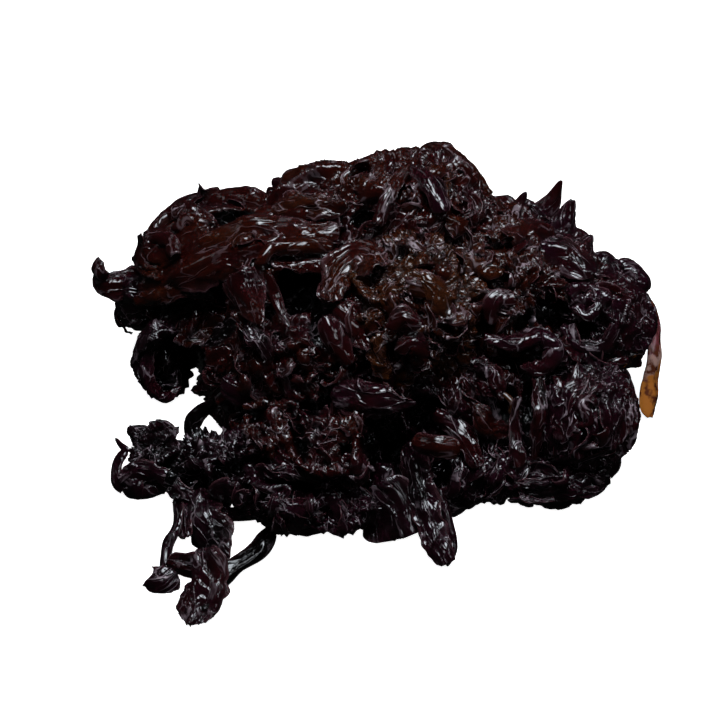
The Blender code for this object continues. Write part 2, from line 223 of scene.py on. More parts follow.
def makePiece(name, material):
    # one mesh of all the piece's surfaces, and at each point its tone, crest, edge, busy and laid place
    parts = pieceParts[name]
    starts = np.cumsum([0] + [len(part[0]) for part in parts])
    points = (np.concatenate([part[0] for part in parts]) + heapShift) * mm
    points[:, 2] = np.maximum(points[:, 2], lowest)
    faces = np.concatenate([part[1] + start for part, start in zip(parts, starts)])
    mesh = bpy.data.meshes.new(name)
    mesh.vertices.add(len(points))
    mesh.vertices.foreach_set("co", points.astype(np.float32).ravel())
    mesh.loops.add(faces.size)
    mesh.loops.foreach_set("vertex_index", faces.astype(np.int32).ravel())
    mesh.polygons.add(len(faces))
    mesh.polygons.foreach_set("loop_start", np.arange(0, faces.size, 3, dtype=np.int32))
    mesh.update(calc_edges=True)
    mesh.validate()
    mesh.shade_smooth()
    for number, attribute in enumerate(("tone", "crest", "edge", "busy"), 2):
        values = np.concatenate([np.broadcast_to(part[number], len(part[0])) for part in parts])
        mesh.attributes.new(attribute, "FLOAT", "POINT").data.foreach_set("value", values.astype(np.float32))
    laid = np.concatenate([part[6] for part in parts])
    pattern = mesh.attributes.new("laid", "FLOAT_VECTOR", "POINT")
    pattern.data.foreach_set("vector", laid.astype(np.float32).ravel())
    made = bpy.data.objects.new(name, mesh)
    bpy.context.scene.collection.objects.link(made)
    mesh.materials.append(material)
    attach(made, "root")
    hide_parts("laver_heap")
    print(name, len(faces), "triangles")


def gridFaces(rows, columns):
    # two triangles for each cell of a grid, as indices into its flattened points
    first = (np.arange(rows - 1)[:, None] * columns + np.arange(columns - 1)).ravel()
    right, below = first + 1, first + columns
    return np.concatenate([np.stack([first, below, right], 1), np.stack([right, below, below + 1], 1)])


# Wads of crumpled frond: (across, up, height) of the middle, half sizes along x, y and z, turn in degrees,
# finish, the way its wrinkles run in the picture, in degrees from across, and tone, from golden under 0
# through brown at 0 and purple at 1 to black.
wads = {
    "upperLeft": ((-41, 30.2, 25), (18.5, 14.3, 13.3), -8, "smooth", 15, 0.35),
    "leftTip": ((-59.3, 18.5, 13), (6.8, 6, 7), 0, "smooth", 0, 1.4),
    "leftLobe": ((-54.3, 4.2, 10), (4.6, 7, 8), 0, "leathery", 60, 1.2),
    "leftMiddle": ((-30.5, 5, 20), (12, 11.5, 13), 20, "leathery", 60, 0.35),
    "knob": ((-30.5, 9.5, 29), (6.5, 5.5, 6), 0, "crinkled", 45, 0.6),
    "leftShoulder": ((-24, 27, 30), (16, 15, 13), 0, "leathery", 10, 0.3),
    "ridgeLeft": ((-12, 40, 34), (15, 13, 12.5), 0, "smooth", 20, 0.4),
    "summit": ((5, 38, 34), (22, 16.5, 16.5), 0, "leathery", 50, 0.3),
    "summitRight": ((15, 42.5, 34), (9, 9.5, 13.5), 0, "leathery", 120, 0.5),
    "caveFloor": ((-17, 4, 23), (11, 10, 12), 0, "crinkled", 0, 0.4),
    "middleRidge": ((-8, 13, 29), (11, 11, 12), 0, "leathery", 90, 0.2),
    "rightMiddle": ((40, 4, 16), (12, 12, 13), 0, "crinkled", 40, 0.7),
    "rightInner": ((36, -12, 9), (9, 8, 9), 0, "wrinkled", 90, 1.1),
    "centre": ((8, 16, 31), (17, 17, 18), 0, "crinkled", 30, -0.3),
    "centreRight": ((29, 20, 27), (16, 16, 17), 0, "crinkled", 120, 0.1),
    "rightBack": ((29, 32.5, 30), (11.5, 9.5, 10.5), 0, "crinkled", 30, 0.4),
    "rightShoulder": ((44, 24.3, 22), (15, 11.5, 11.5), -25, "leathery", 20, 0.8),
    "rightSwirl": ((54.3, 14.3, 20), (12.5, 12, 11), 0, "leathery", 120, 0.9),
    "rightLow": ((50.3, -9, 14), (13.3, 12.5, 13), 0, "wrinkled", 80, 0.9),
    "rightFoot": ((42, -24, 5), (13.8, 7, 6), 5, "wrinkled", 10, 1.0),
    "frontRight": ((24, -6, 14), (12, 12, 14), 0, "wrinkled", 100, 0.6),
    "frontRightLow": ((23.7, -20.6, 7), (13, 10, 8), 0, "wrinkled", 80, 1.1),
    "frontMiddle": ((2, -2, 17), (14, 13, 15), 0, "crinkled", 60, 0.9),
    "frontLeft": ((-18, -19, 9), (17, 12, 11), 5, "wrinkled", 150, 0.9),
    "frontUpper": ((-27, -14, 14), (8.5, 8, 8.5), 0, "crinkled", 120, 0.4),
    "frontLump": ((-13.5, -16, 16), (6.5, 9, 8.5), 0, "crinkled", 70, 0.5),
    "frontColumn": ((-5.5, -15, 15), (4.5, 10, 8), 0, "crinkled", 90, 0.6),
    "frontHem": ((-18, -30.6, 6), (14.5, 6, 6), 0, "crinkled", 20, 1.0),
    "gapFloor": ((2, -21.5, 4), (9, 8.5, 6.5), 0, "leathery", 90, 1.3),
    "frontLeftEnd": ((-33, -22.5, 8), (7.5, 8, 8), 0, "crinkled", 60, 1.1),
    "armRoot": ((-44, -22.5, 4), (7, 9, 7), 0, "crinkled", 60, 1.3),
    "arm": ((-56.5, -16.6, 5), (6.3, 7.1, 5), -10, "crinkled", 30, 1.1),
}
backWads = {
    "count": 5,
    "from": 14,            # degrees round an oval ring
    "to": 166,
    "ring": (44, 34),
    "halfSizes": (16, 12, 13),
    "flowStep": 20,        # degrees that the wrinkles turn from one to the next
    "height": 12,
    "finish": "leathery",
    "tone": 0.5,
}
core = {"halfSizes": (44.5, 37, 42), "finish": "leathery", "flow": 30, "tone": 0.4}
wadMesh = {
    "spacing": 0.42,
    "backSpacing": 0.75,
    "buried": 3.0,         # points deeper than this in another wad are left out
    "table": -1.5,         # points lower than this are left out
    "cap": (0.85, 115),    # share of the grid that covers the ball to this many degrees from its outer pole
    "alongView": 0.15,     # how far its wrinkles lean towards the eye
    "poleRaise": 4,        # how much the outer pole leans up
    "floorSpot": 0.3,      # height where the points under the table meet
    # painted shade: the crest in the depth of a hollow, set so low that its colour goes black
    "hollowShadeCrest": -6,     # crest in the depth of a hollow, so low that its colour is black
    "seedStep": 31,
}


def turnedBy(degrees):
    # the matrix that takes a point into the axes of a wad turned about +Z
    cosine, sine = math.cos(math.radians(degrees)), math.sin(math.radians(degrees))
    return np.array([[cosine, sine, 0], [-sine, cosine, 0], [0, 0, 1]])


def seat(acrossBy, upBy, height):
    # the point at this height that the eye sees at (across, up)
    seen = across * acrossBy + upwards * upBy
    return eye + (seen - eye) * (eye[2] - height) / (eye[2] - seen[2])


def allWads():
    # every wad as (name, middle, half sizes, turn, finish, flow, tone)
    yield "core", heapMiddle, np.array(core["halfSizes"]), 0, core["finish"], core["flow"], core["tone"]
    angles = np.radians(np.linspace(backWads["from"], backWads["to"], backWads["count"]))
    for number, angle in enumerate(angles):
        ring = np.array([math.cos(angle), math.sin(angle)]) * backWads["ring"]
        middle = heapMiddle + np.array([*ring, backWads["height"]])
        turn = math.degrees(angle) - 90
        halfSizes = np.array(backWads["halfSizes"])
        flow = backWads["flowStep"] * number
        yield f"back{number}", middle, halfSizes, turn, backWads["finish"], flow, backWads["tone"]
    for name, (place, halfSizes, turn, finish, flow, tone) in wads.items():
        yield name, seat(*place), np.array(halfSizes), turn, finish, flow, tone


wadList = list(allWads())


def depthInside(points, wad):
    # how deep, in millimetres, the points lie under the wad's surface, less than 0 outside
    middle, halfSizes, turn = wad[1:4]
    level = np.linalg.norm((points - middle) @ turnedBy(turn).T / halfSizes, axis=-1)
    return (1 - level) * halfSizes.mean()


def firstHits(starts, ways):
    # Where straight lines from the starts first enter a wad, from the square equation of a line and a ball:
    # the share of the way, and which wad, or -1 for none.
    best = np.full(len(starts), np.inf)
    which = np.full(len(starts), -1)
    for number, wad in enumerate(wadList):
        middle, halfSizes, turn = wad[1:4]
        begin = (starts - middle) @ turnedBy(turn).T / halfSizes
        run = ways @ turnedBy(turn).T / halfSizes
        square, half, level = (run * run).sum(1), (begin * run).sum(1), (begin * begin).sum(1) - 1
        root = half**2 - square * level
        share = np.where(root > 0, (-half - np.sqrt(np.maximum(root, 0))) / square, np.inf)
        nearer = (share > 0) & (share < best)
        best[nearer], which[nearer] = share[nearer], number
    return best, which


def wadNormals(points, which):
    # the outward direction of each point's own wad
    normals = np.zeros_like(points)
    for number in np.unique(which[which >= 0]):
        middle, halfSizes, turn = wadList[number][1:4]
        mine = which == number
        matrix = turnedBy(turn)
        normals[mine] = unit((points[mine] - middle) @ matrix.T / halfSizes**2 @ matrix)
    return normals


# Hollows between the fronds, pushed away from the eye, their depths painted black as shade: the middle
# (across, up), half sizes in the picture, turn in degrees and depth.
hollows = {
    "band": ((-35, 40), (7, 2), -5, 4),
    "hood": ((-52, 3.5), (7.5, 7), 0, 8),
    "cave": ((-19.5, 23), (7.5, 7.5), 20, 11),
    "gap": ((0.5, -15), (5, 10), 0, 9),
    "arch": ((5, 46), (2, 3.6), 20, 5),
    "loopHole": ((36, 15), (2.6, 3.6), 0, 6),
    "stripHole": ((11.5, -8.5), (5, 4.2), 0, 7),
    "stripGap": ((15.5, -24), (2.2, 7), 5, 7),
    "rightGap": ((31, -7), (3.6, 6), 10, 8),
    "swirlShade": ((43, 17), (4, 5), 20, 6),
    "underShoulder": ((41, 2), (6, 3), 0, 5),
    "underLobe": ((-42, 12), (6, 3), 20, 5),
    "leftFoot": ((-47, -27), (5, 4), 0, 4),
    "frontFold": ((-33, -21.5), (5, 2.2), 20, 5),
    "hemFold": ((-22, -27), (8, 1.8), -8, 5),
    "lumpFold": ((-20.5, -14), (1.6, 7), 15, 5),
    "columnFold": ((-8.8, -15), (1.2, 6.5), 5, 5),
    "upperFold": ((-15, -6.5), (4.5, 2.6), 0, 6),
    "frondFold": ((-31, -9), (6, 1.6), 10, 4),
    "rootFold": ((-40, -24), (2, 4), 0, 4),
    "petalShade": ((-14, 13), (3.5, 5), 0, 6),
    "thinShade": ((-25.5, 17), (3.5, 2.5), 0, 5),
    "columnShade": ((37.5, -8), (1.8, 8), 0, 6),
    "swirlDark": ((50, 12.5), (4, 2.2), 0, 5),
    "ridgeShade": ((-3, 40), (4, 2.5), 0, 4),
}
hollowForm = {
    "front": 8,            # mm from the heap's middle towards the eye over which hollows grow to full depth
    "rim": 1.25,           # where a hollow starts, in its half sizes
    "slope": 0.6,          # and how much further in it is full depth
}


def pictured(points):
    # (across, up) where the line of sight to each point crosses the picture plane
    way = points - eye
    hit = eye + way * (-(eye @ towardsEye) / (way @ towardsEye))[..., None]
    return hit @ across, hit @ upwards


def hollowed(points):
    # Points that face the eye are pushed away from it by the depth times a smooth step of how far in the
    # hollow's oval they are. Returns the points and how deep in a hollow each one is, from 0 to 1.
    acrossAt, upAt = pictured(points)
    front = np.clip((points - heapMiddle) @ towardsEye / hollowForm["front"], 0, 1)
    deepest = np.zeros(points.shape[:-1])
    push = deepest.copy()
    for (middleAcross, middleUp), (halfAcross, halfUp), turn, depth in hollows.values():
        cosine, sine = math.cos(math.radians(turn)), math.sin(math.radians(turn))
        x, y = acrossAt - middleAcross, upAt - middleUp
        level = np.hypot((x * cosine + y * sine) / halfAcross, (y * cosine - x * sine) / halfUp)
        step = np.clip((hollowForm["rim"] - level) / hollowForm["slope"], 0, 1)
        step = step * step * (3 - 2 * step) * front
        deepest = np.maximum(deepest, step)
        push = np.maximum(push, step * depth)
    return points - towardsEye * push[..., None], deepest


def isBehind(name):
    # whether a wad is the core or one of those behind it
    return name == "core" or name.startswith("back")


def makeWad(number, piece):
    # A square grid is bent to a disc, whose rings of squares become circles, and the disc over a ball from
    # the outer pole to the inner one. The ball is stretched to the half sizes and crumpled. Points deep in
    # another wad fall together at this wad's middle, and points under the table at one place on it, so it
    # stays closed.
    name, middle, halfSizes, turn, finishName, flowAngle, tone = wadList[number]
    spacing = wadMesh["backSpacing"] if isBehind(name) else wadMesh["spacing"]
    capShare, capAngle = wadMesh["cap"]
    count = int(4 * halfSizes.mean() / capShare / spacing)
    s, t = np.meshgrid(np.linspace(-1, 1, count), np.linspace(-1, 1, count), indexing="ij")
    sideways = np.abs(s) >= np.abs(t)
    radius = np.where(sideways, s, t)
    safe = np.where(radius == 0, 1, radius)
    around = np.where(sideways, math.pi / 4 * t / safe, math.pi / 2 - math.pi / 4 * s / safe)
    reach = np.abs(radius)
    polar = np.interp(reach, (0, capShare, 1), (0, math.radians(capAngle), math.pi))
    flip = np.where(radius < 0, math.pi, 0)
    pole = unit(middle - heapMiddle + np.array([0, 0, wadMesh["poleRaise"]]))
    if name == "core":
        pole = np.array([0.0, 0, 1])
    first = unit(np.cross(pole, [0.31, 0.95, 0.05]))    # any way that no pole points
    second = np.cross(pole, first)
    ring = np.cos(around + flip)[..., None] * first + np.sin(around + flip)[..., None] * second
    ball = pole * np.cos(polar)[..., None] + ring * np.sin(polar)[..., None]
    matrix = turnedBy(turn)
    points = middle + ball * halfSizes @ matrix
    normals = unit(ball / halfSizes @ matrix)

    buried = np.zeros(points.shape[:2], bool)
    for other in range(len(wadList)):
        if other != number:
            buried |= depthInside(points, wadList[other]) > wadMesh["buried"]
    table = points[..., 2] < wadMesh["table"]
    finish = finishes[finishName]
    angle = math.radians(flowAngle)
    flow = unit(across * math.cos(angle) + upwards * math.sin(angle) + wadMesh["alongView"] * towardsEye)
    shown = ~(buried | table)
    seed = wadMesh["seedStep"] * number
    points, normals, crest, laid = crumple(points, normals, flow, finish, seed, shown)
    points, deepness = hollowed(points)
    # painted shade: deep in a hollow the crest drops so low that the colour goes black
    crest = crest * (1 - deepness) + wadMesh["hollowShadeCrest"] * deepness

    flat = points.reshape(-1, 3)
    state = np.where(buried, 1, np.where(table, 2, 0)).ravel()
    edge = reach.ravel() > 0.999
    state[edge & (state == 0)] = 1
    keep = state == 0
    index = np.where(keep, np.cumsum(keep) + 1, state - 1)
    floorSpot = np.array([middle[0], middle[1], wadMesh["floorSpot"]])
    kept = np.concatenate([[middle, floorSpot], flat[keep]])
    faces = index[gridFaces(count, count)]
    a, b, c = faces.T
    faces = faces[(a != b) & (b != c) & (a != c)]
    corners = kept[faces]
    outward = np.cross(corners[:, 1] - corners[:, 0], corners[:, 2] - corners[:, 0])
    if (outward * (corners.mean(axis=1) - middle)).sum() < 0:
        faces = faces[:, ::-1]
    used = np.unique(faces)
    renumber = np.zeros(len(kept), int)
    renumber[used] = np.arange(len(used))
    crests = np.concatenate([[0, 0], crest.ravel()[keep]])
    laid = np.concatenate([[middle, floorSpot], laid.reshape(-1, 3)[keep]])
    addPart(piece, kept[used], renumber[faces], tone, crests[used], 0, finish["busy"], laid[used])


for number, wad in enumerate(wadList):
    name, middle = wad[:2]
    if isBehind(name):
        piece = "backCrumples"
    else:
        piece = "leftCrumples" if middle[0] < -15 else "middleCrumples" if middle[0] < 27 else "rightCrumples"
    makeWad(number, piece)
print("wads crumpled")

# Leaves and strands: the places that the middle line runs through, widths at its start, middle and end, how
# far it bends across (radians each side of its middle line), how far it is lifted off the wads, finish and
# tone.
blades = {
    "bigLobe": (((-24, 35), (-36, 33), (-48, 29), (-60, 23)), (9, 15, 6), 0.6, 2, "smooth", 0.3),
    "brownSheet": (((-45, 34), (-32, 37.5), (-20, 36.5), (-10, 38)), (6, 9, 8), 0.7, 3, "smooth", 0.1),
    "lobeRim": (
        ((-58, 36.5, 26), (-50.5, 44.3, 29), (-40, 46, 32), (-28, 45, 35)),
        (4, 7, 7), 1.0, 0, "smooth", 0.3,
    ),
    "ruffledBand": (((-52.5, 41.3), (-47, 42), (-41, 38.5)), (3, 4.5, 3), 1.2, 2.5, "crinkled", 0.5),
    "lobeCurl": (((-59, 32), (-56.5, 35.5), (-52.5, 35), (-51, 31)), (3, 4, 3), 1.2, 2.5, "smooth", 0.4),
    "lowerEdge": (((-61, 20), (-52, 22.5), (-43, 26.5), (-34, 29)), (4, 6, 5), 1.1, 3, "leathery", 0.1),
    "hook": (
        ((-59, 25.2, 20), (-64, 24.8, 20), (-69.5, 24.7, 21), (-71.3, 27.7, 24), (-70.6, 30.8, 26)),
        (11, 8, 4.5), 1.0, 0, "leathery", 0.6,
    ),
    "lobePoint": (
        ((-41.5, 44.3, 30), (-44.3, 46.7, 33), (-45.5, 49, 36)),
        (11, 4, 0.8), 0.6, 0, "strand", 0.3,
    ),
    "backRidge": (
        ((-26.5, 49.3, 36), (-20, 49, 39), (-11.5, 51, 43), (0, 54.3, 45)),
        (7, 6.5, 7), 1.1, 0, "leathery", 0.8,
    ),
    "orangeSheet": (((-27, 42), (-18, 44.5), (-8, 44)), (7, 9, 7), 0.8, 3, "leathery", -0.05),
    "caveLip": (((-30, 29), (-27, 33), (-20, 34), (-12, 33.5)), (3, 6, 4), 1.3, 6, "smooth", 0.2),
    "caveShelf": (((-27, 28), (-20, 29.5), (-13, 28.5)), (3, 4, 3), 1.1, 2, "leathery", 0.6),
    "petal": (((-13.5, 20), (-9.5, 27.5), (-4.5, 30.5), (-0.5, 28)), (5, 13, 5), 0.9, 5, "leathery", 0.1),
    "petalUnder": (((-10, 19), (-6, 14.5), (-1.5, 8)), (6, 10, 4), 0.8, 3, "leathery", 0.5),
    "petalPair": (((-14, 16), (-11.5, 10), (-8, 4)), (5, 8, 3), 0.9, 5, "smooth", 0.6),
    "hood": (
        (
            (-33, 23, 27), (-45, 20.5, 24), (-53.5, 16.5, 20), (-58.3, 8, 14),
            (-58.7, 0, 9), (-54.8, -4, 6), (-50, -1.5, 7),
        ),
        (5, 6, 4), 1.3, 0, "leathery", 0.8,
    ),
    "hoodInner": (((-50, 10, 16), (-43, 14.5, 21), (-35, 15, 25)), (7, 10, 9), 0.8, 0, "crinkled", 0.0),
    "wedgeFold": (((-36, 27), (-34, 22), (-29.5, 14)), (15, 9, 1), 1.0, 8, "smooth", 0.4),
    "thinFold": (((-28, 27), (-26, 20), (-22.5, 13)), (3, 4, 1), 1.2, 7, "smooth", 0.5),
    "darkFrond": (((-39, -0.6), (-35, -2.6), (-28, -4)), (4, 9, 8), 0.9, 2, "leathery", 1.0),
    "raisin": (((-25, 1), (-23, -4), (-21, -9)), (4, 7, 2), 1.5, 3, "wrinkled", 0.7),
    "knobFold": (((-33.5, 13.5), (-30.5, 9.5), (-27.5, 5)), (4, 6, 4), 1.2, 5, "wrinkled", 0.9),
    "purpleFront": (((-12, -3), (-5, -5), (2, -5.5), (9, -6)), (6, 10, 1.5), 0.9, 5, "leathery", 1.0),
    "archLeft": (((-1, 39), (2.5, 47), (7, 53.5)), (4, 4, 3), 1.4, 5, "wrinkled", 0.4),
    "archRight": (((7, 54), (12.5, 50.5), (16, 42)), (3, 7, 5), 1.2, 5.5, "smooth", 0.9),
    "crest": (
        ((8, 56.8, 45), (14.5, 58.5, 47), (19, 56.6, 46), (23.8, 52.3, 42), (28, 46.8, 38)),
        (4, 6, 5), 1.2, 0, "leathery", 0.0,
    ),
    "crestFold": (((17, 55, 44), (17.3, 50), (16.5, 45)), (2, 3, 1.5), 1.3, 3, "leathery", -0.4),
    "rightSlope": (((26, 45, 37), (31, 42.5, 34), (36, 40, 31)), (5, 6, 5), 1.1, 0, "leathery", 0.3),
    "frillHood": (((34.5, 42.5, 32), (38, 44.5, 34), (42, 41, 32)), (4, 6, 4), 1.2, 0, "leathery", 1.0),
    "frillTip": (((34, 42, 32), (35.5, 45, 34), (36.5, 47, 36)), (4, 3, 1), 0.9, 0, "strand", 0.9),
    "frillSpike": (((39.5, 40, 31), (43.3, 45, 34), (45.2, 50, 38)), (9, 5, 0.8), 0.8, 0, "strand", 0.8),
    "frillBody": (((41, 34, 28), (46, 38, 31), (48, 45, 35)), (9, 9.5, 2), 1.0, 0, "leathery", 0.95),
    "frillLeaf": (((43, 32, 28), (49, 33.5, 28), (53.5, 31.5, 26)), (5, 7, 3), 1.1, 0, "smooth", 0.9),
    "frillKnob": (((46, 36, 28), (50, 36.5, 28), (52.3, 35.3, 27)), (5, 4.5, 3), 1.0, 0, "smooth", 0.9),
    "redSheet": (((32.5, 35), (38, 37), (43.5, 35.5)), (6, 10, 7), 0.8, 5.5, "smooth", 0.35),
    "thinRidge": (((30.5, 30.5), (37, 34), (44.5, 36.5, 30)), (2, 2.5, 1.5), 1.4, 3, "strand", 0.5),
    "mauveFold": (((40, 33.5), (47, 32), (53.5, 26.5)), (7, 12, 8), 0.8, 6, "smooth", 0.8),
    "rightFrill": (((52.5, 28.5, 24), (57, 30, 25), (61, 28, 23)), (5, 6, 4), 1.1, 0, "leathery", 0.9),
    "rightTip": (
        ((59, 26, 20), (63, 27.3, 21), (66, 24.5, 20), (64.5, 21, 18)),
        (6, 7.5, 4), 0.9, 0, "smooth", 0.95,
    ),
    "swirl": (
        ((47, 21), (50, 24), (54, 23), (55.5, 19), (52, 16), (49, 18)),
        (3, 4.5, 2.5), 1.3, 4.5, "leathery", 0.9,
    ),
    "swirlOuter": (
        ((46, 14), (49.5, 9.5), (56, 9), (60, 14), (60, 20)),
        (3, 5, 4), 1.2, 3, "leathery", 0.95,
    ),
    "rightWrap": (((61.5, 20, 18), (65, 14, 16), (64.5, 6, 13)), (4, 6.5, 4), 1.0, 0, "wrinkled", 0.9),
    "rightEdge": (((60.5, 3, 14), (62.5, -1, 12), (63.4, -6, 10)), (3.5, 4.5, 4), 0.9, 0, "wrinkled", 0.9),
    "swirlHem": (((51, 6), (56.5, 3.5), (62, 5)), (3, 4, 3), 1.2, 3, "strand", 0.8),
    "loop": (
        ((26, 11), (33, 10), (40, 11.5), (44, 8), (41.5, 3.5), (35, 3)),
        (3, 5, 4), 1.3, 6, "leathery", 0.85,
    ),
    "smallPetal": (((27.5, 14), (29.5, 19.5), (34, 21)), (3.5, 7, 4), 1.0, 4.5, "smooth", 0.6),
    "glossLeft": (((2, 13), (6, 15.5), (10.5, 13.5)), (4, 8, 3), 1.1, 5.5, "smooth", 0.5),
    "glossRight": (((3.5, 7.5), (8.5, 9.5), (12.5, 6)), (4, 7.5, 3), 1.1, 5.5, "smooth", 0.6),
    "goldenFrond": (((-1.5, 11), (0.5, 5.5), (2, 0)), (4, 6.5, 4), 1.1, 3, "crinkled", -0.6),
    "centreFold": (((14, 31), (22, 28.5), (31, 27)), (4, 6, 4), 1.1, 3, "leathery", -0.2),
    "centreSlant": (((8, 27), (14, 22), (17, 15)), (4, 7, 4), 1.1, 3, "leathery", -0.3),
    "starFold": (((22.5, 4.5), (27.5, 0), (31, -5)), (6, 11, 1), 0.9, 6, "crinkled", 0.7),
    "tanThread": (
        ((30.5, -3, 22), (33, -5.5, 21), (32.3, -8.5, 19)),
        (1.4, 1.4, 1), 0.8, 0, "strand", -1.0,
    ),
    "redStrip": (
        ((8, -15.3, 19.5), (14, -16.8, 20.5), (20, -17.3, 19.5)),
        (5, 6, 5.5), 0.7, 0, "strand", 0.1,
    ),
    "hangingStrip": (
        ((7.5, -15, 16), (9, -25, 11), (12.3, -36, 6), (15.8, -46.3, 3)),
        (8, 8.5, 7), 0.9, 1, "leathery", 0.95,
    ),
    "stripEdge": (
        ((16, -30, 8), (17.5, -37, 5), (18.4, -42.5, 3), (17, -46.5, 2.5)),
        (2.5, 3, 3), 1.0, 1, "strand", 1.0,
    ),
    "stripInner": (((14, -27, 8), (15, -35, 5), (16, -43.5, 2.5)), (4, 4, 4), 0.5, 0, "strand", 1.2),
    "darkSheet": (((-1.5, -26, 9), (2.5, -32, 6), (4.6, -39.8, 2.5)), (12, 16, 17), 0.5, 1, "strand", 0.9),
    "uprightFold": (((40, 3), (40.5, -8), (39, -20)), (4, 5, 4), 1.4, 5, "wrinkled", 0.6),
    "uprightBack": (((35, -4), (34, -14), (35, -22)), (4, 5, 4), 1.3, 4, "wrinkled", 0.7),
    "middleLeaf": (((24, -6), (27, -11), (33, -13)), (4, 7, 4), 1.1, 3, "leathery", 0.4),
    "slantLeaf": (((14, -8), (20, -13), (25, -22)), (4, 7, 4), 1.1, 3, "wrinkled", 0.6),
    "darkStrand": (
        ((-40.5, -5, 11), (-46, -8.8, 9), (-47.4, -12.5, 6), (-45.7, -18.5, 5)),
        (3, 5.2, 4), 0.9, 1, "strand", 1.4,
    ),
    "armTop": (
        ((-45.3, -17.8, 6), (-42.5, -16.8, 7), (-38, -16.5, 8)),
        (3, 3.5, 4), 0.8, 1, "leathery", 1.2,
    ),
    "holeRim": (((-38.5, -4, 12), (-37.3, -9, 9), (-37.2, -15, 6)), (3, 4, 5), 0.8, 1, "leathery", 1.1),
    "armRim": (
        ((-65, -25, 4), (-59, -23, 6), (-53, -26.3, 6), (-47.5, -30, 4.5), (-40, -33.8, 3)),
        (6, 6.5, 4), 1.0, 1, "wrinkled", 0.9,
    ),
    "armUnder": (((-64, -26.8, 3), (-60, -27.8, 2), (-54, -26.8, 2)), (4, 5, 4), 0.9, 1, "leathery", 1.2),
    "armTip": (((-64, -25, 4), (-61.5, -27.5, 3), (-60.3, -29.8, 1)), (7, 6, 2), 0.7, 1, "smooth", 1.2),
    "armLoop": (
        ((-63.6, -17, 5), (-66, -21, 4), (-66.5, -25, 3), (-64.6, -28, 1.5)),
        (3, 4, 4.5), 0.9, 1, "strand", 1.0,
    ),
    "armSpike": (
        ((-63, -18, 5), (-64.5, -16.5, 5), (-66, -14.5, 5.5)),
        (2.5, 1.6, 0.7), 0.6, 1, "strand", 0.8,
    ),
    "armFold": (((-58, -12), (-54.5, -11), (-51, -14.5)), (3, 4, 3), 1.1, 1.5, "crinkled", 0.9),
    "stemLeft": (
        ((-51, -30, 4), (-51, -36, 3), (-53.3, -41.5, 3), (-54.5, -47, 2)),
        (5, 2.8, 3), 1.0, 1, "strand", 1.2,
    ),
    "stemBroad": (
        ((-47.3, -29, 4), (-45.8, -35, 4), (-42, -41, 3), (-39, -47, 2)),
        (14, 13, 5), 0.8, 1, "leathery", 1.3,
    ),
    "stemWeb": (((-49.5, -30, 3), (-49, -35, 3), (-48.2, -39.5, 2.5)), (7, 7, 4), 0.8, 1, "wrinkled", 0.9),
    "lowerFrond": (
        ((-45.8, -43.5, 4), (-44.8, -49, 4), (-45.6, -55, 3), (-47.8, -61.2, 1)),
        (14, 12.5, 7), 0.8, 1, "leathery", 0.5,
    ),
    "longStrand": (
        ((-27, -36.7, 3), (-30.8, -42.9, 3), (-37, -47.7, 3), (-41.6, -52.8, 2.5), (-44.3, -57.4, 2)),
        (5.5, 5, 3.5), 1.0, 1, "strand", 1.8,
    ),
    "smallTip": (
        ((-51.5, -47.7, 3), (-54.8, -50.8, 2.5), (-59.5, -51.5, 1)),
        (6.5, 8.3, 1), 0.7, 1, "wrinkled", 0.8,
    ),
    "tipBridge": (
        ((-53.5, -46, 3), (-49.5, -46.8, 3), (-45, -48, 4)),
        (5, 7.5, 9), 0.7, 1, "leathery", 0.4,
    ),
    "frontRim": (((-46, -30.5, 3), (-38, -34, 2), (-29, -33.7, 2)), (5, 5, 5), 1.0, 1, "wrinkled", 0.9),
    "frontSkirt": (((-29, -33, 2), (-18.7, -37, 2), (-7.5, -31.4, 3)), (7, 7, 6), 0.8, 1, "crinkled", 0.9),
    "frontFlap": (
        ((13.5, -29.5, 6), (19.5, -31.3, 3), (27, -26.6, 3)),
        (7, 6.5, 4), 0.8, 1, "leathery", 0.9,
    ),
    "footSkirt": (((31, -27.6, 2), (42, -28.6, 2), (51, -28.9, 3)), (6, 7, 6), 0.8, 1, "wrinkled", 0.9),
    "footEdge": (((56, -16.5, 7), (58.3, -20.5, 6), (57.6, -24.3, 4)), (4, 5, 4), 0.9, 1, "wrinkled", 0.9),
}
stipe = {
    "line": ((64.5, 22, 20), (68.7, 15, 17), (69.3, 7, 13), (68.4, 1, 9), (67.7, -4, 6), (67.3, -9.3, 2.5)),
    "widths": (4.5, 5.2, 6.5),
    "bend": 0.7,
    "finish": "strand",
    "spacing": 0.35,
    "thickness": 0.8,
    "seed": 5000,
}
bladeForm = {
    "spacing": 0.5,
    "thickness": 0.4,
    "rimThinner": 0.35,         # share of the thickness that the rim has lost
    "torn": 0.22,               # share of the width that the torn outline takes in and lets out
    "tears": ((5.5, 1.5), (1.7, 0.7)),    # length and share of the slow and of the quick tears
    "ruffle": 2.0,
    "ruffleLength": 5,
    "bendShare": 0.75,          # how far it turns by its edge, as a share of the bend
    "foldDrift": (0.5, 8),      # how far its fold wanders, as a share of the half width, and over what length
    "foldRound": 0.4,           # 1 for a round arc across, towards 0 for a sharp fold between flat sides
    "depthShare": 0.4,          # how deep a blade's own folds and wrinkles are, beside a wad's
    "stretchMore": 1.5,         # how much longer they are, beside a wad's
    "ends": (7, 0.04),          # power that rounds the ends, and the least share of the squared half width
    "seed": (1000, 17),         # and how much it grows by each blade
}


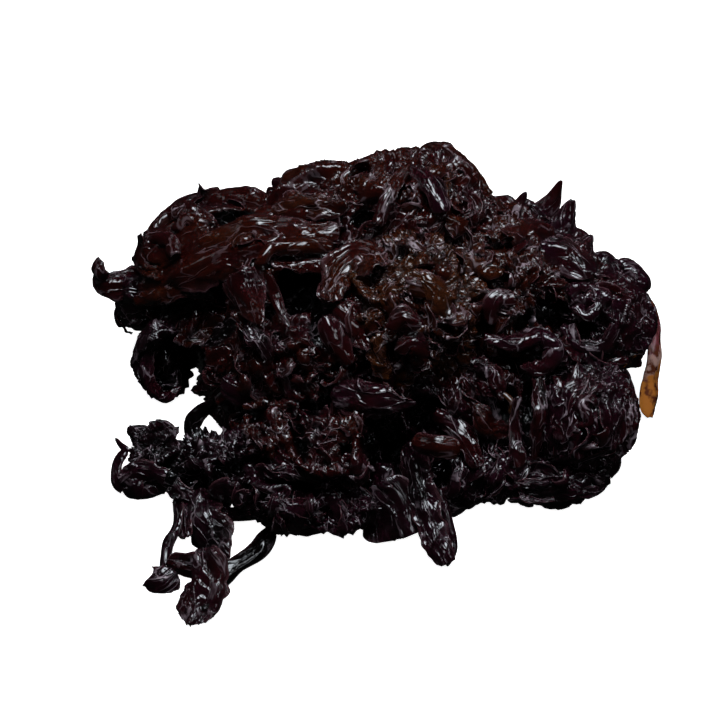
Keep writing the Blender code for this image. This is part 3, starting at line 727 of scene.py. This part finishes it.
def smoothLine(places, stations):
    # a Catmull-Rom curve through the places, then spaced evenly along its length
    places = np.asarray(places, float)
    ends = np.concatenate([[2 * places[0] - places[1]], places, [2 * places[-1] - places[-2]]])
    where = np.linspace(0, len(places) - 1, stations * 4)
    first = np.minimum(where.astype(int), len(places) - 2)
    t = (where - first)[:, None]
    a, b, c, d = (ends[first + step] for step in range(4))
    line = 0.5 * (2 * b + (c - a) * t + (2 * a - 5 * b + 4 * c - d) * t**2 + (3 * b - a - 3 * c + d) * t**3)
    run = np.concatenate([[0], np.cumsum(np.linalg.norm(np.diff(line, axis=0), axis=1))])
    even = np.linspace(0, run[-1], stations)
    return np.stack([np.interp(even, run, line[:, axis]) for axis in range(3)], 1), even


def restOn(acrossBy, upBy, lift):
    # where the line of sight at (across, up) first meets a wad or the table, lifted towards the eye
    way = across * acrossBy + upwards * upBy - eye
    share = min(firstHits(eye[None], way[None])[0][0], -eye[2] / way[2])
    return eye + way * (share - lift / np.linalg.norm(way))


def tornWidth(rim, half, v, finish, seed):
    # the half width, times 1 and a slow and a quick noise along each edge, more towards the edges
    (slowLength, slowShare), (quickLength, quickShare) = bladeForm["tears"]
    slow = latticeNoise(rim / slowLength, 2, seed)[..., 0]
    quick = latticeNoise(rim / quickLength, 1, seed + 3)[..., 0]
    tears = finish["torn"] * bladeForm["torn"] * (slowShare * slow + quickShare * quick)
    return half[:, None] * (1 + tears * np.abs(v))


def foldedAcross(run, v, width, bend, seed):
    # Across, the blade turns by the bend times a power of the way from a fold that wanders beside its middle.
    # The cosines of the turned steps add up to how far sideways each point is, and the sines to how far down.
    wander, wanderLength = bladeForm["foldDrift"]
    drift = latticeNoise(np.stack([run / wanderLength, run * 0, run * 0 + seed], -1), 2, seed + 5)
    off = v - wander * drift[:, 1:]
    angle = bladeForm["bendShare"] * bend * np.sign(off) * np.abs(off)**bladeForm["foldRound"]
    angle = angle * (1 + 0.5 * drift[:, :1])
    between = (angle[:, 1:] + angle[:, :-1]) / 2
    start = np.zeros((len(run), 1))
    sideways = np.concatenate([start, np.cumsum(np.cos(between), axis=1)], 1) * (v[1] - v[0])
    downwards = np.concatenate([start, np.cumsum(np.sin(between), axis=1)], 1) * (v[1] - v[0])
    middle = len(v) // 2
    sideways = width * (sideways - sideways.mean(axis=1, keepdims=True))
    return sideways, width * (downwards - downwards[:, middle:middle + 1])


def closedSheet(points, normals, v, thickness):
    # two faces half a thickness out on each side of a grid, and a rim of triangles all round
    stations, rows = points.shape[:2]
    thin = thickness * (1 - bladeForm["rimThinner"] * np.abs(v)**4) / 2
    solid = np.concatenate([
        (points + normals * thin[:, None]).reshape(-1, 3),
        (points - normals * thin[:, None]).reshape(-1, 3),
    ])
    cells = gridFaces(stations, rows)
    size = stations * rows
    border = np.concatenate([
        np.arange(rows - 1),
        np.arange(stations - 1) * rows + rows - 1,
        size - 1 - np.arange(rows - 1),
        (stations - 1 - np.arange(stations - 1)) * rows,
    ])
    after = np.roll(border, -1)
    rimFaces = np.concatenate([
        np.stack([border, after, after + size], 1),
        np.stack([border, after + size, border + size], 1),
    ])
    faces = np.concatenate([cells, cells[:, ::-1] + size, rimFaces])
    corners = points.reshape(-1, 3)[cells]
    facing = np.cross(corners[:, 1] - corners[:, 0], corners[:, 2] - corners[:, 0])
    if (facing * normals.reshape(-1, 3)[cells[:, 0]]).sum() < 0:
        faces = faces[:, ::-1]
    return solid, faces


def ribbon(places, widths, bend, roll, outward, finish, seed, spacing, thickness, depthShare):
    # A smooth middle line is carried sideways by the half width, which narrows to rounded ends. It is folded
    # across, ruffled by noise times the square of the way from the line, crumpled, and closed to a thin
    # sheet. Returns its points, faces, crest, how near an edge each point is, and where its pattern is laid.
    length = np.linalg.norm(np.diff(np.asarray(places, float), axis=0), axis=1).sum() * 1.05
    stations = max(7, int(length / spacing))
    rows = max(5, int(max(widths) / spacing))
    line, run = smoothLine(places, stations)
    share = run / run[-1]
    along = unit(np.gradient(line, axis=0))
    side = unit(np.cross(along, outward if np.ndim(outward) == 1 else outward(line)))
    normal = np.cross(side, along)
    cosine, sine = math.cos(roll), math.sin(roll)
    side, normal = side * cosine + normal * sine, normal * cosine - side * sine

    v = np.linspace(-1, 1, rows)
    half = np.interp(share * 2, (0, 1, 2), widths) / 2
    endPower, endShare = bladeForm["ends"]
    half *= np.sqrt(np.maximum(1 - np.abs(2 * share - 1)**endPower, endShare))
    edgeSide = np.where(v < 0, 0.0, 50.0)    # far apart, so that the two edges tear differently
    runGrid = np.broadcast_to(run[:, None], (stations, rows))
    rim = np.stack([runGrid, np.broadcast_to(edgeSide, runGrid.shape), np.full_like(runGrid, seed * 7.3)], -1)
    width = tornWidth(rim, half, v, finish, seed)
    sideways, downwards = foldedAcross(run, v, width, bend, seed)
    ruffle = latticeNoise(rim / bladeForm["ruffleLength"], 1, seed + 7)[..., 0]
    ruffle = finish["torn"] * bladeForm["ruffle"] * ruffle * v**2 * np.minimum(1, half[:, None] / 3)
    rise = (ruffle - downwards)[..., None]
    points = line[:, None] + side[:, None] * sideways[..., None] + normal[:, None] * rise

    flat = np.stack([runGrid, v * half[:, None], np.full_like(runGrid, seed * 11.7)], -1)
    shallow = finish | {"stretch": finish["stretch"] * bladeForm["stretchMore"]} | {
        key: (finish[key][0], finish[key][1] * part)
        for key, part in (("folds", depthShare), ("layers", depthShare), ("creases", min(1, depthShare * 2)))
    }
    like = np.broadcast_to(normal[:, None], points.shape)
    points, normals, crest, laid = crumple(
        points, gridNormals(points, like), np.array([1.0, 0, 0]), shallow, seed, outline=flat
    )
    solid, faces = closedSheet(points, normals, v, thickness)
    edge = np.tile(np.broadcast_to(np.abs(v), (stations, rows)).ravel(), 2)
    return solid, faces, np.tile(crest.ravel(), 2), edge, np.tile(laid.reshape(-1, 3), (2, 1))


def outwardTo(line):
    # away from the heap's middle, and towards the eye where the line can be seen
    outward = unit(line - heapMiddle)
    if (outward @ towardsEye).mean() > 0:
        outward = unit(outward + towardsEye)
    return outward


def bladePlaces(places, lift):
    # each place as a point: at its own height where it has one, and else laid on what the eye sees there
    return [seat(*place) if len(place) == 3 else restOn(*place, lift) for place in places]


for number, (name, (places, widths, bend, lift, finish, tone)) in enumerate(blades.items()):
    seed = bladeForm["seed"][0] + bladeForm["seed"][1] * number
    solid, faces, crest, edge, laid = ribbon(
        bladePlaces(places, lift), widths, bend, 0, outwardTo, finishes[finish], seed,
        bladeForm["spacing"], bladeForm["thickness"], bladeForm["depthShare"],
    )
    piece = "leftBlades" if places[0][0] < -10 else "rightBlades"
    addPart(piece, solid, faces, tone, crest, edge, finishes[finish]["busy"], laid)
solid, faces, crest, edge, laid = ribbon(
    bladePlaces(stipe["line"], 0), stipe["widths"], stipe["bend"], 0, outwardTo, finishes[stipe["finish"]],
    stipe["seed"], stipe["spacing"], stipe["thickness"], bladeForm["depthShare"],
)
addPart("stipe", solid, faces, 0, crest, edge, 0, laid)
print("blades laid")

# Small curled fronds. For each finish of the wad that they lie on: how likely one is, its length and width,
# how far it turns from the wad's flow, in radians, and how far it rolls.
scraps = {
    "front": 340,
    "frontTries": 4000,
    "frontArea": ((-72, 72), (-66, 62)),    # across and up
    "bare": (-44, 12),     # none lie left of and below this place of the picture
    "reach": 58,           # none lie further than this to its sides
    "hollow": 0.1,         # none in front lie deeper in a hollow than this
    "back": 120,
    "backTries": 400,
    "turned": 0.25,        # those behind lie where the way out leans less than this towards the eye
    "kinds": {
        "smooth": (0.2, (6, 12), (3, 5), 0.4, 0.3),
        "leathery": (0.8, (4, 11), (2.5, 6), 0.7, 1.0),
        "crinkled": (1.0, (3, 9), (2, 5.5), 1.2, 1.2),
        "wrinkled": (0.8, (5, 12), (1.5, 3.5), 0.35, 0.8),
    },
    "bend": (-1.2, 1.4),
    "rise": (-0.2, 1.2),   # of its middle off the wad
    "sink": (1, 2.5),      # of its start into the wad
    "lift": (-2, 1.5),     # of its tip
    "curve": 0.22,         # to either side, as a share of its length
    "tip": (0.1, 0.7),     # width there, as a share of the widest
    "toneSpread": 0.3,
    "thickness": 0.3,
    "depthShare": 0.9,
    "spacing": 0.6,
    "seed": 7,
    "noiseSeed": (7000, 13),    # and how much it grows by each scrap
}


def frontSpots(random):
    # where lines of sight at random places of the picture first meet a wad, out of the hollows
    acrossArea, upArea = scraps["frontArea"]
    tries = scraps["frontTries"]
    aims = across * random.uniform(*acrossArea, (tries, 1)) + upwards * random.uniform(*upArea, (tries, 1))
    ways = aims - eye
    share, which = firstHits(np.broadcast_to(eye, ways.shape), ways)
    likely = np.array([scraps["kinds"][wad[4]][0] for wad in wadList])
    share = np.where(which < 0, 1, share)
    outside = hollowed(eye + ways * share[:, None])[1] < scraps["hollow"]
    outside &= (aims @ across > scraps["bare"][0]) | (aims @ upwards > scraps["bare"][1])
    outside &= np.abs(aims @ across) < scraps["reach"]
    seen = np.flatnonzero((which >= 0) & outside & (random.uniform(size=tries) < likely[which]))
    seen = seen[:scraps["front"]]
    return eye + ways[seen] * share[seen, None], which[seen]


def backSpots(random):
    # where lines from far out, spread by the golden angle over the upper half of a ball, meet a wad behind
    tries, far = scraps["backTries"], 200
    number = np.arange(tries)
    height = 1 - (number + 0.5) / tries
    turn = number * math.pi * (3 - math.sqrt(5))
    level = np.sqrt(1 - height**2)
    outward = np.stack([level * np.cos(turn), level * np.sin(turn), height], 1)
    outward = outward[outward @ towardsEye < scraps["turned"]]
    starts = heapMiddle + outward * far
    share, which = firstHits(starts, -outward * far)
    found = np.flatnonzero(which >= 0)
    found = found[random.permutation(len(found))[:scraps["back"]]]
    return starts[found] - outward[found] * far * share[found, None], which[found]


def scatterScraps():
    # each a ribbon through four places about its spot, its start sunk in the wad and its tip lifted off it
    random = np.random.default_rng(scraps["seed"])
    frontPoints, frontWads = frontSpots(random)
    backPoints, backs = backSpots(random)
    points, which = np.concatenate([frontPoints, backPoints]), np.concatenate([frontWads, backs])
    normals = wadNormals(points, which)
    for index, (point, normal, wad) in enumerate(zip(points, normals, which)):
        finishName, flowAngle, wadTone = wadList[wad][4:7]
        lengths, widths, swing, roll = scraps["kinds"][finishName][1:]
        length, width = random.uniform(*lengths), random.uniform(*widths)
        bend = random.uniform(*scraps["bend"])
        flow = across * math.cos(math.radians(flowAngle)) + upwards * math.sin(math.radians(flowAngle))
        first = unit(flow - normal * (flow @ normal))
        angle = random.normal(0, swing) + math.pi * random.integers(2)
        along = first * math.cos(angle) + np.cross(normal, first) * math.sin(angle)
        rise, sink, lift = (random.uniform(*scraps[name]) for name in ("rise", "sink", "lift"))
        aside = np.cross(normal, along) * random.uniform(-scraps["curve"], scraps["curve"], (2, 1)) * length
        places = [
            point - along * length / 2 - normal * sink,
            point - along * length / 6 + normal * rise + aside[0],
            point + along * length / 5 + normal * (rise + lift) / 2 + aside[1],
            point + along * length / 2 + normal * lift,
        ]
        tone = np.clip(wadTone + random.uniform(-scraps["toneSpread"], scraps["toneSpread"]), 0, 1)
        finish = finishes[finishName]
        taper = (width * 0.6, width, width * random.uniform(*scraps["tip"]))
        seed = scraps["noiseSeed"][0] + scraps["noiseSeed"][1] * index
        solid, faces, crest, edge, laid = ribbon(
            places, taper, bend, roll * random.uniform(-1, 1), normal, finish, seed,
            scraps["spacing"], scraps["thickness"], scraps["depthShare"],
        )
        piece = "frontScraps" if index < len(frontPoints) else "backScraps"
        addPart(piece, solid, faces, tone, crest, edge, finish["busy"], laid)


scatterScraps()
print("scraps scattered")

frondLook = {
    "golden": (0.04, 0.013, 0.004),
    "brown": (0.02, 0.0031, 0.0013),
    "maroon": (0.0155, 0.0016, 0.0018),
    "purple": (0.0095, 0.0016, 0.004),
    "black": (0.001, 0.0005, 0.0006),
    # painted light: rims lighter, as light through the thin edges and glints on them make them
    "litThinEdge": (0.06, 0.024, 0.029),
    # pale ridges: partly the drier, dustier crests, partly painted highlight lines along them
    "ridge": (0.26, 0.2, 0.23),
    # each colour that brown turns to, and its share: the tone times a number plus another, from 0 to 1
    "byTone": (("golden", -1, 0), ("maroon", 2, 0), ("purple", 2, -1), ("black", 2, -2.3)),
    # painted shade: the tone darkens towards the table, where less light reaches
    "low": (24, 0.35),                    # up to this height in mm it darkens, by this much tone at the table
    # noise: cells for each metre, detail, and what it is multiplied by and moved by
    "toneDrift": (90, 3, 1.6, -0.8),
    # blots of black at random, added to the painted shade that deepens with the creases
    "blots": (170, 4, 3.5, -1.75),        # of black, added to the share of black that sinks with the creases
    "ridgePatches": (200, 3, 5, -2.2),    # where ridges are pale
    "roughness": (160, 4, 0.05, 0.04),
    # painted shade: creases and hollows, where the crest is low, go black
    "sunk": (-0.45, 0.1),                 # share of black: the crest times and plus this
    # painted light on the thin rims
    "rimGlow": (9, 0.8),                     # share of the edge's colour: its nearness to this power, times this
    # wavy ridges along the borders of scattered cells: cells for each millimetre, half width and height in mm
    "ridges": (0.4, 0.24, 0.26),
    "fineRidges": (0.75, 0.15, 0.055),
    # partly dust and partly painted highlight
    "ridgeDustAndGlintLines": (3.5, 0.8),             # how narrow the pale line on a ridge is, and how pale
    "fineShare": 0.55,                    # how pale the fine ridges are beside the others
    "bend": (0.4, 2, 2.8),                # noise that bends the ridges: cells for each mm, detail and mm
    "ripples": (0.4, 0.5, 0.3),           # cells for each mm, detail and height in mm
    "ior": 1.5,
}
stipeLook = {
    "amber": (0.42, 0.14, 0.022),
    "brown": (0.1, 0.024, 0.01),
    "streaks": (420, 3),                  # cells for each metre, and detail
    "brownStreaks": (7, -3.2),            # share of brown: the streaks times and plus this
    # (height mm that each colour starts at, colour)
    "above": ((9, (0.5, 0.3, 0.25)), (12, (0.16, 0.035, 0.045)), (15.5, (0.02, 0.004, 0.007))),
    "sharp": 0.8,                         # share of the next colour that each mm of height adds
    "streaked": (6, -3),                  # and the streaks times and plus this
    "roughness": 0.25,
}


def newMaterial(name):
    # a material, its nodes and links, and its Principled shader
    material = bpy.data.materials.new(name)
    material.use_nodes = True
    nodes, links = material.node_tree.nodes, material.node_tree.links
    return material, nodes, links, nodes["Principled BSDF"]


def valueNode(nodes, links, operation, *inputs):
    # one Math node, its inputs given as sockets or numbers
    node = nodes.new("ShaderNodeMath")
    node.operation = operation
    for socket, given in zip(node.inputs, inputs):
        if isinstance(given, (int, float)):
            socket.default_value = given
        else:
            links.new(given, socket)
    return node.outputs[0]


def limited(nodes, links, value):
    # the value held between 0 and 1
    return valueNode(nodes, links, "MINIMUM", valueNode(nodes, links, "MAXIMUM", value, 0), 1)


def mixColours(nodes, links, share, first, second):
    # one Mix node of two colours, given as sockets or as red, green and blue
    node = nodes.new("ShaderNodeMix")
    node.data_type = "RGBA"
    for socket, given in ((node.inputs[0], share), (node.inputs[6], first), (node.inputs[7], second)):
        if isinstance(given, (int, float)):
            socket.default_value = given
        elif isinstance(given, tuple):
            socket.default_value = (*given, 1)
        else:
            links.new(given, socket)
    return node.outputs[2]


def noiseNode(nodes, links, where, scale, detail):
    # one Noise Texture node
    node = nodes.new("ShaderNodeTexNoise")
    node.inputs["Scale"].default_value = scale
    node.inputs["Detail"].default_value = detail
    links.new(where, node.inputs["Vector"])
    return node


def movedNoise(nodes, links, where, scale, detail, times, plus):
    # noise times one number and plus another
    return valueNode(
        nodes, links, "MULTIPLY_ADD", noiseNode(nodes, links, where, scale, detail).outputs[0], times, plus
    )


def attributeNode(nodes, name, output="Fac"):
    # what each point of the mesh keeps under this name
    node = nodes.new("ShaderNodeAttribute")
    node.attribute_name = name
    return node.outputs[output]


def ridgeNodes(nodes, links, where, scale, halfWidth, depth):
    # 1 on the borders of cells round scattered middles, fading to 0 beside them, and the same times the depth
    cells = nodes.new("ShaderNodeTexVoronoi")
    cells.feature = "DISTANCE_TO_EDGE"
    cells.inputs["Scale"].default_value = scale
    links.new(where, cells.inputs["Vector"])
    node = nodes.new("ShaderNodeMapRange")
    node.interpolation_type = "SMOOTHERSTEP"
    links.new(cells.outputs["Distance"], node.inputs["Value"])
    for socket, number in (("From Min", 0), ("From Max", halfWidth * scale), ("To Min", 1), ("To Max", 0)):
        node.inputs[socket].default_value = number
    return node.outputs[0], valueNode(nodes, links, "MULTIPLY", node.outputs[0], depth)


def bentPlace(nodes, links, laid):
    # where the pattern is laid, moved by a noise
    scale, detail, bendBy = frondLook["bend"]
    bent = nodes.new("ShaderNodeVectorMath")
    bent.operation = "MULTIPLY_ADD"
    links.new(noiseNode(nodes, links, laid, scale, detail).outputs["Color"], bent.inputs[0])
    bent.inputs[1].default_value = (bendBy,) * 3
    links.new(laid, bent.inputs[2])
    return bent.outputs[0]


def frondColour(nodes, links, place, broad, fine, busy):
    # Brown turns to golden, maroon, purple and black by tone, which drifts and is darkened near the table as
    # painted shade. Low creases and hollows go black as painted shade and blots go black at random, edges
    # go mauve as painted light through the thin rims, and lines along the ridges are pale in patches, partly
    # as dust and partly as painted highlight.
    def value(operation, *inputs):
        return valueNode(nodes, links, operation, *inputs)

    drift = movedNoise(nodes, links, place, *frondLook["toneDrift"])
    tone = value("ADD", attributeNode(nodes, "tone"), drift)
    parts = nodes.new("ShaderNodeSeparateXYZ")
    links.new(place, parts.inputs[0])
    # painted shade: darker towards the table
    lowDepth, lowShade = frondLook["low"]
    low = limited(nodes, links, value("MULTIPLY_ADD", parts.outputs[2], -1 / (lowDepth * mm), 1))
    tone = value("MULTIPLY_ADD", low, lowShade, tone)
    body = frondLook["brown"]
    for name, times, plus in frondLook["byTone"]:
        share = limited(nodes, links, value("MULTIPLY_ADD", tone, times, plus))
        body = mixColours(nodes, links, share, body, frondLook[name])
    # painted shade: low crests go black, with random blots of black added
    sunk = value("MULTIPLY_ADD", attributeNode(nodes, "crest"), *frondLook["sunk"])
    sunk = limited(nodes, links, value("ADD", sunk, movedNoise(nodes, links, place, *frondLook["blots"])))
    body = mixColours(nodes, links, sunk, body, frondLook["black"])
    # painted light: the thin rims lighter, as light through them and glints on them would make them
    rimGlowPower, rimGlowShare = frondLook["rimGlow"]
    rimGlow = value("MULTIPLY", value("POWER", attributeNode(nodes, "edge"), rimGlowPower), rimGlowShare)
    body = mixColours(nodes, links, rimGlow, body, frondLook["litThinEdge"])
    # pale lines on the ridges: partly dust, partly painted highlight
    linePower, lineShare = frondLook["ridgeDustAndGlintLines"]
    lines = value("MAXIMUM", broad, value("MULTIPLY", fine, frondLook["fineShare"]))
    patches = limited(nodes, links, movedNoise(nodes, links, place, *frondLook["ridgePatches"]))
    lines = value("MULTIPLY", value("POWER", lines, linePower), value("MULTIPLY", patches, busy))
    return mixColours(nodes, links, value("MULTIPLY", lines, lineShare), body, frondLook["ridge"])


def frondMaterial():
    # glossy, with the ridges and ripples as bump, as strong as the point's finish is busy
    material, nodes, links, shader = newMaterial("glossyFrond")
    place = nodes.new("ShaderNodeTexCoord").outputs["Object"]
    laid, busy = attributeNode(nodes, "laid", "Vector"), attributeNode(nodes, "busy")
    bent = bentPlace(nodes, links, laid)
    broad, broadHeight = ridgeNodes(nodes, links, bent, *frondLook["ridges"])
    fine, fineHeight = ridgeNodes(nodes, links, bent, *frondLook["fineRidges"])
    links.new(frondColour(nodes, links, place, broad, fine, busy), shader.inputs["Base Color"])
    links.new(movedNoise(nodes, links, place, *frondLook["roughness"]), shader.inputs["Roughness"])
    shader.inputs["IOR"].default_value = frondLook["ior"]
    ripples = movedNoise(nodes, links, laid, *frondLook["ripples"], 0)
    height = valueNode(nodes, links, "ADD", valueNode(nodes, links, "ADD", broadHeight, fineHeight), ripples)
    bump = nodes.new("ShaderNodeBump")
    bump.inputs["Strength"].default_value = 1
    bump.inputs["Distance"].default_value = mm
    links.new(valueNode(nodes, links, "MULTIPLY", height, busy), bump.inputs["Height"])
    links.new(bump.outputs[0], shader.inputs["Normal"])
    return material


def stipeMaterial():
    # amber, then pale, red and dark further up, each with a ragged start, with brown streaks over all
    material, nodes, links, shader = newMaterial("amberStipe")
    place = nodes.new("ShaderNodeTexCoord").outputs["Object"]
    streaks = noiseNode(nodes, links, place, *stipeLook["streaks"]).outputs[0]
    parts = nodes.new("ShaderNodeSeparateXYZ")
    links.new(place, parts.inputs[0])
    ragged = valueNode(nodes, links, "MULTIPLY_ADD", streaks, *stipeLook["streaked"])
    colour = stipeLook["amber"]
    sharp = stipeLook["sharp"]
    for start, paint in stipeLook["above"]:
        high = valueNode(nodes, links, "MULTIPLY_ADD", parts.outputs[2], sharp / mm, -sharp * start)
        high = limited(nodes, links, valueNode(nodes, links, "ADD", high, ragged))
        colour = mixColours(nodes, links, high, colour, paint)
    brown = valueNode(nodes, links, "MULTIPLY_ADD", streaks, *stipeLook["brownStreaks"])
    colour = mixColours(nodes, links, limited(nodes, links, brown), colour, stipeLook["brown"])
    links.new(colour, shader.inputs["Base Color"])
    shader.inputs["Roughness"].default_value = stipeLook["roughness"]
    return material


glossyFrond = frondMaterial()
amberStipe = stipeMaterial()
for name in sorted(pieceParts):
    makePiece(name, amberStipe if name == "stipe" else glossyFrond)

studio = {
    "floorSize": 40,       # metres, so that it fills the picture
    "floorGrey": 0.8,
    "floorRoughness": 0.9,
    "floorGlow": 1.0,
    "worldGrey": 0.01,
    # each light: place and aim in metres, width, height, watts, colour, whether the heap mirrors it, and how
    # far it spreads, in degrees
    "lights": {
        "sky": ((0, 0.35, 1.5), (0, 0, 0.02), 1.2, 1.2, 12, (1, 1, 1), False, 180),
        "window": ((-0.35, 0.85, 0.8), (0, 0, 0.02), 0.28, 0.28, 0.28, (0.84, 0.91, 1), True, 180),
        "windowRight": ((0.5, 0.7, 0.9), (0, 0, 0.02), 0.3, 0.3, 0.6, (0.84, 0.91, 1), True, 180),
        "skylight": ((0.03, 0.04, 0.34), (0.016, 0.008, 0.03), 0.19, 0.19, 0.102, (0.86, 0.93, 1), True, 42),
        "left": ((-0.9, 0.2, 0.8), (0, 0, 0.02), 0.28, 0.28, 0.3, (0.9, 0.95, 1), True, 180),
        "frontRight": ((0.8, -0.25, 0.85), (0, 0, 0.02), 0.32, 0.32, 1.1, (0.88, 0.94, 1), True, 180),
    },
}


def makeFloor():
    # a plain white square under the heap, which the heap neither mirrors nor is lit by
    side = studio["floorSize"] / 2
    corners = [(-side, -side, 0), (side, -side, 0), (side, side, 0), (-side, side, 0)]
    mesh = bpy.data.meshes.new("floor")
    mesh.from_pydata(corners, [], [(0, 1, 2, 3)])
    floor = bpy.data.objects.new("floor", mesh)
    bpy.context.scene.collection.objects.link(floor)
    material, nodes, links, shader = newMaterial("paleFloor")
    shader.inputs["Base Color"].default_value = (*[studio["floorGrey"]] * 3, 1)
    shader.inputs["Roughness"].default_value = studio["floorRoughness"]
    shader.inputs["Specular IOR Level"].default_value = 0
    shader.inputs["Emission Color"].default_value = (1, 1, 1, 1)
    shader.inputs["Emission Strength"].default_value = studio["floorGlow"]
    mesh.materials.append(material)
    floor.visible_diffuse = False
    floor.visible_glossy = False


def makeLights():
    # area lights, each turned so that its own -Z runs from its place to its aim
    for name, (place, aim, width, height, watts, colour, mirrored, spread) in studio["lights"].items():
        data = bpy.data.lights.new(name, "AREA")
        data.shape = "RECTANGLE"
        data.size, data.size_y, data.energy, data.color = width, height, watts, colour
        data.spread = math.radians(spread)
        light = bpy.data.objects.new(name, data)
        bpy.context.scene.collection.objects.link(light)
        light.location = place
        light.visible_glossy = mirrored
        x, y, z = np.subtract(aim, place)
        light.rotation_euler = (math.atan2(math.hypot(x, y), -z), 0, math.atan2(y, x) - math.pi / 2)


def makeWorld():
    # white behind the heap, and a faint grey on it
    world = bpy.data.worlds.new("studioAir")
    world.use_nodes = True
    nodes, links = world.node_tree.nodes, world.node_tree.links
    background = nodes["Background"]
    ray = nodes.new("ShaderNodeLightPath").outputs["Is Camera Ray"]
    grey = studio["worldGrey"]
    links.new(valueNode(nodes, links, "MULTIPLY_ADD", ray, 1 - grey, grey), background.inputs["Strength"])
    background.inputs["Color"].default_value = (1, 1, 1, 1)
    bpy.context.scene.world = world


def makeCamera():
    # at the photo's eye, looking down at its angle
    data = bpy.data.cameras.new("photoCamera")
    data.lens, data.sensor_width = photoView["lens"], photoView["sensorWidth"]
    data.clip_start, data.clip_end = 0.01, 100
    camera = bpy.data.objects.new("photoCamera", data)
    bpy.context.scene.collection.objects.link(camera)
    camera.location = (eye + heapShift) * mm
    camera.rotation_euler = (math.pi / 2 - lookDown, 0, 0)
    bpy.context.scene.camera = camera


makeFloor()
makeLights()
makeWorld()
makeCamera()
bpy.context.scene.view_settings.view_transform = "Standard"
print("studio set")
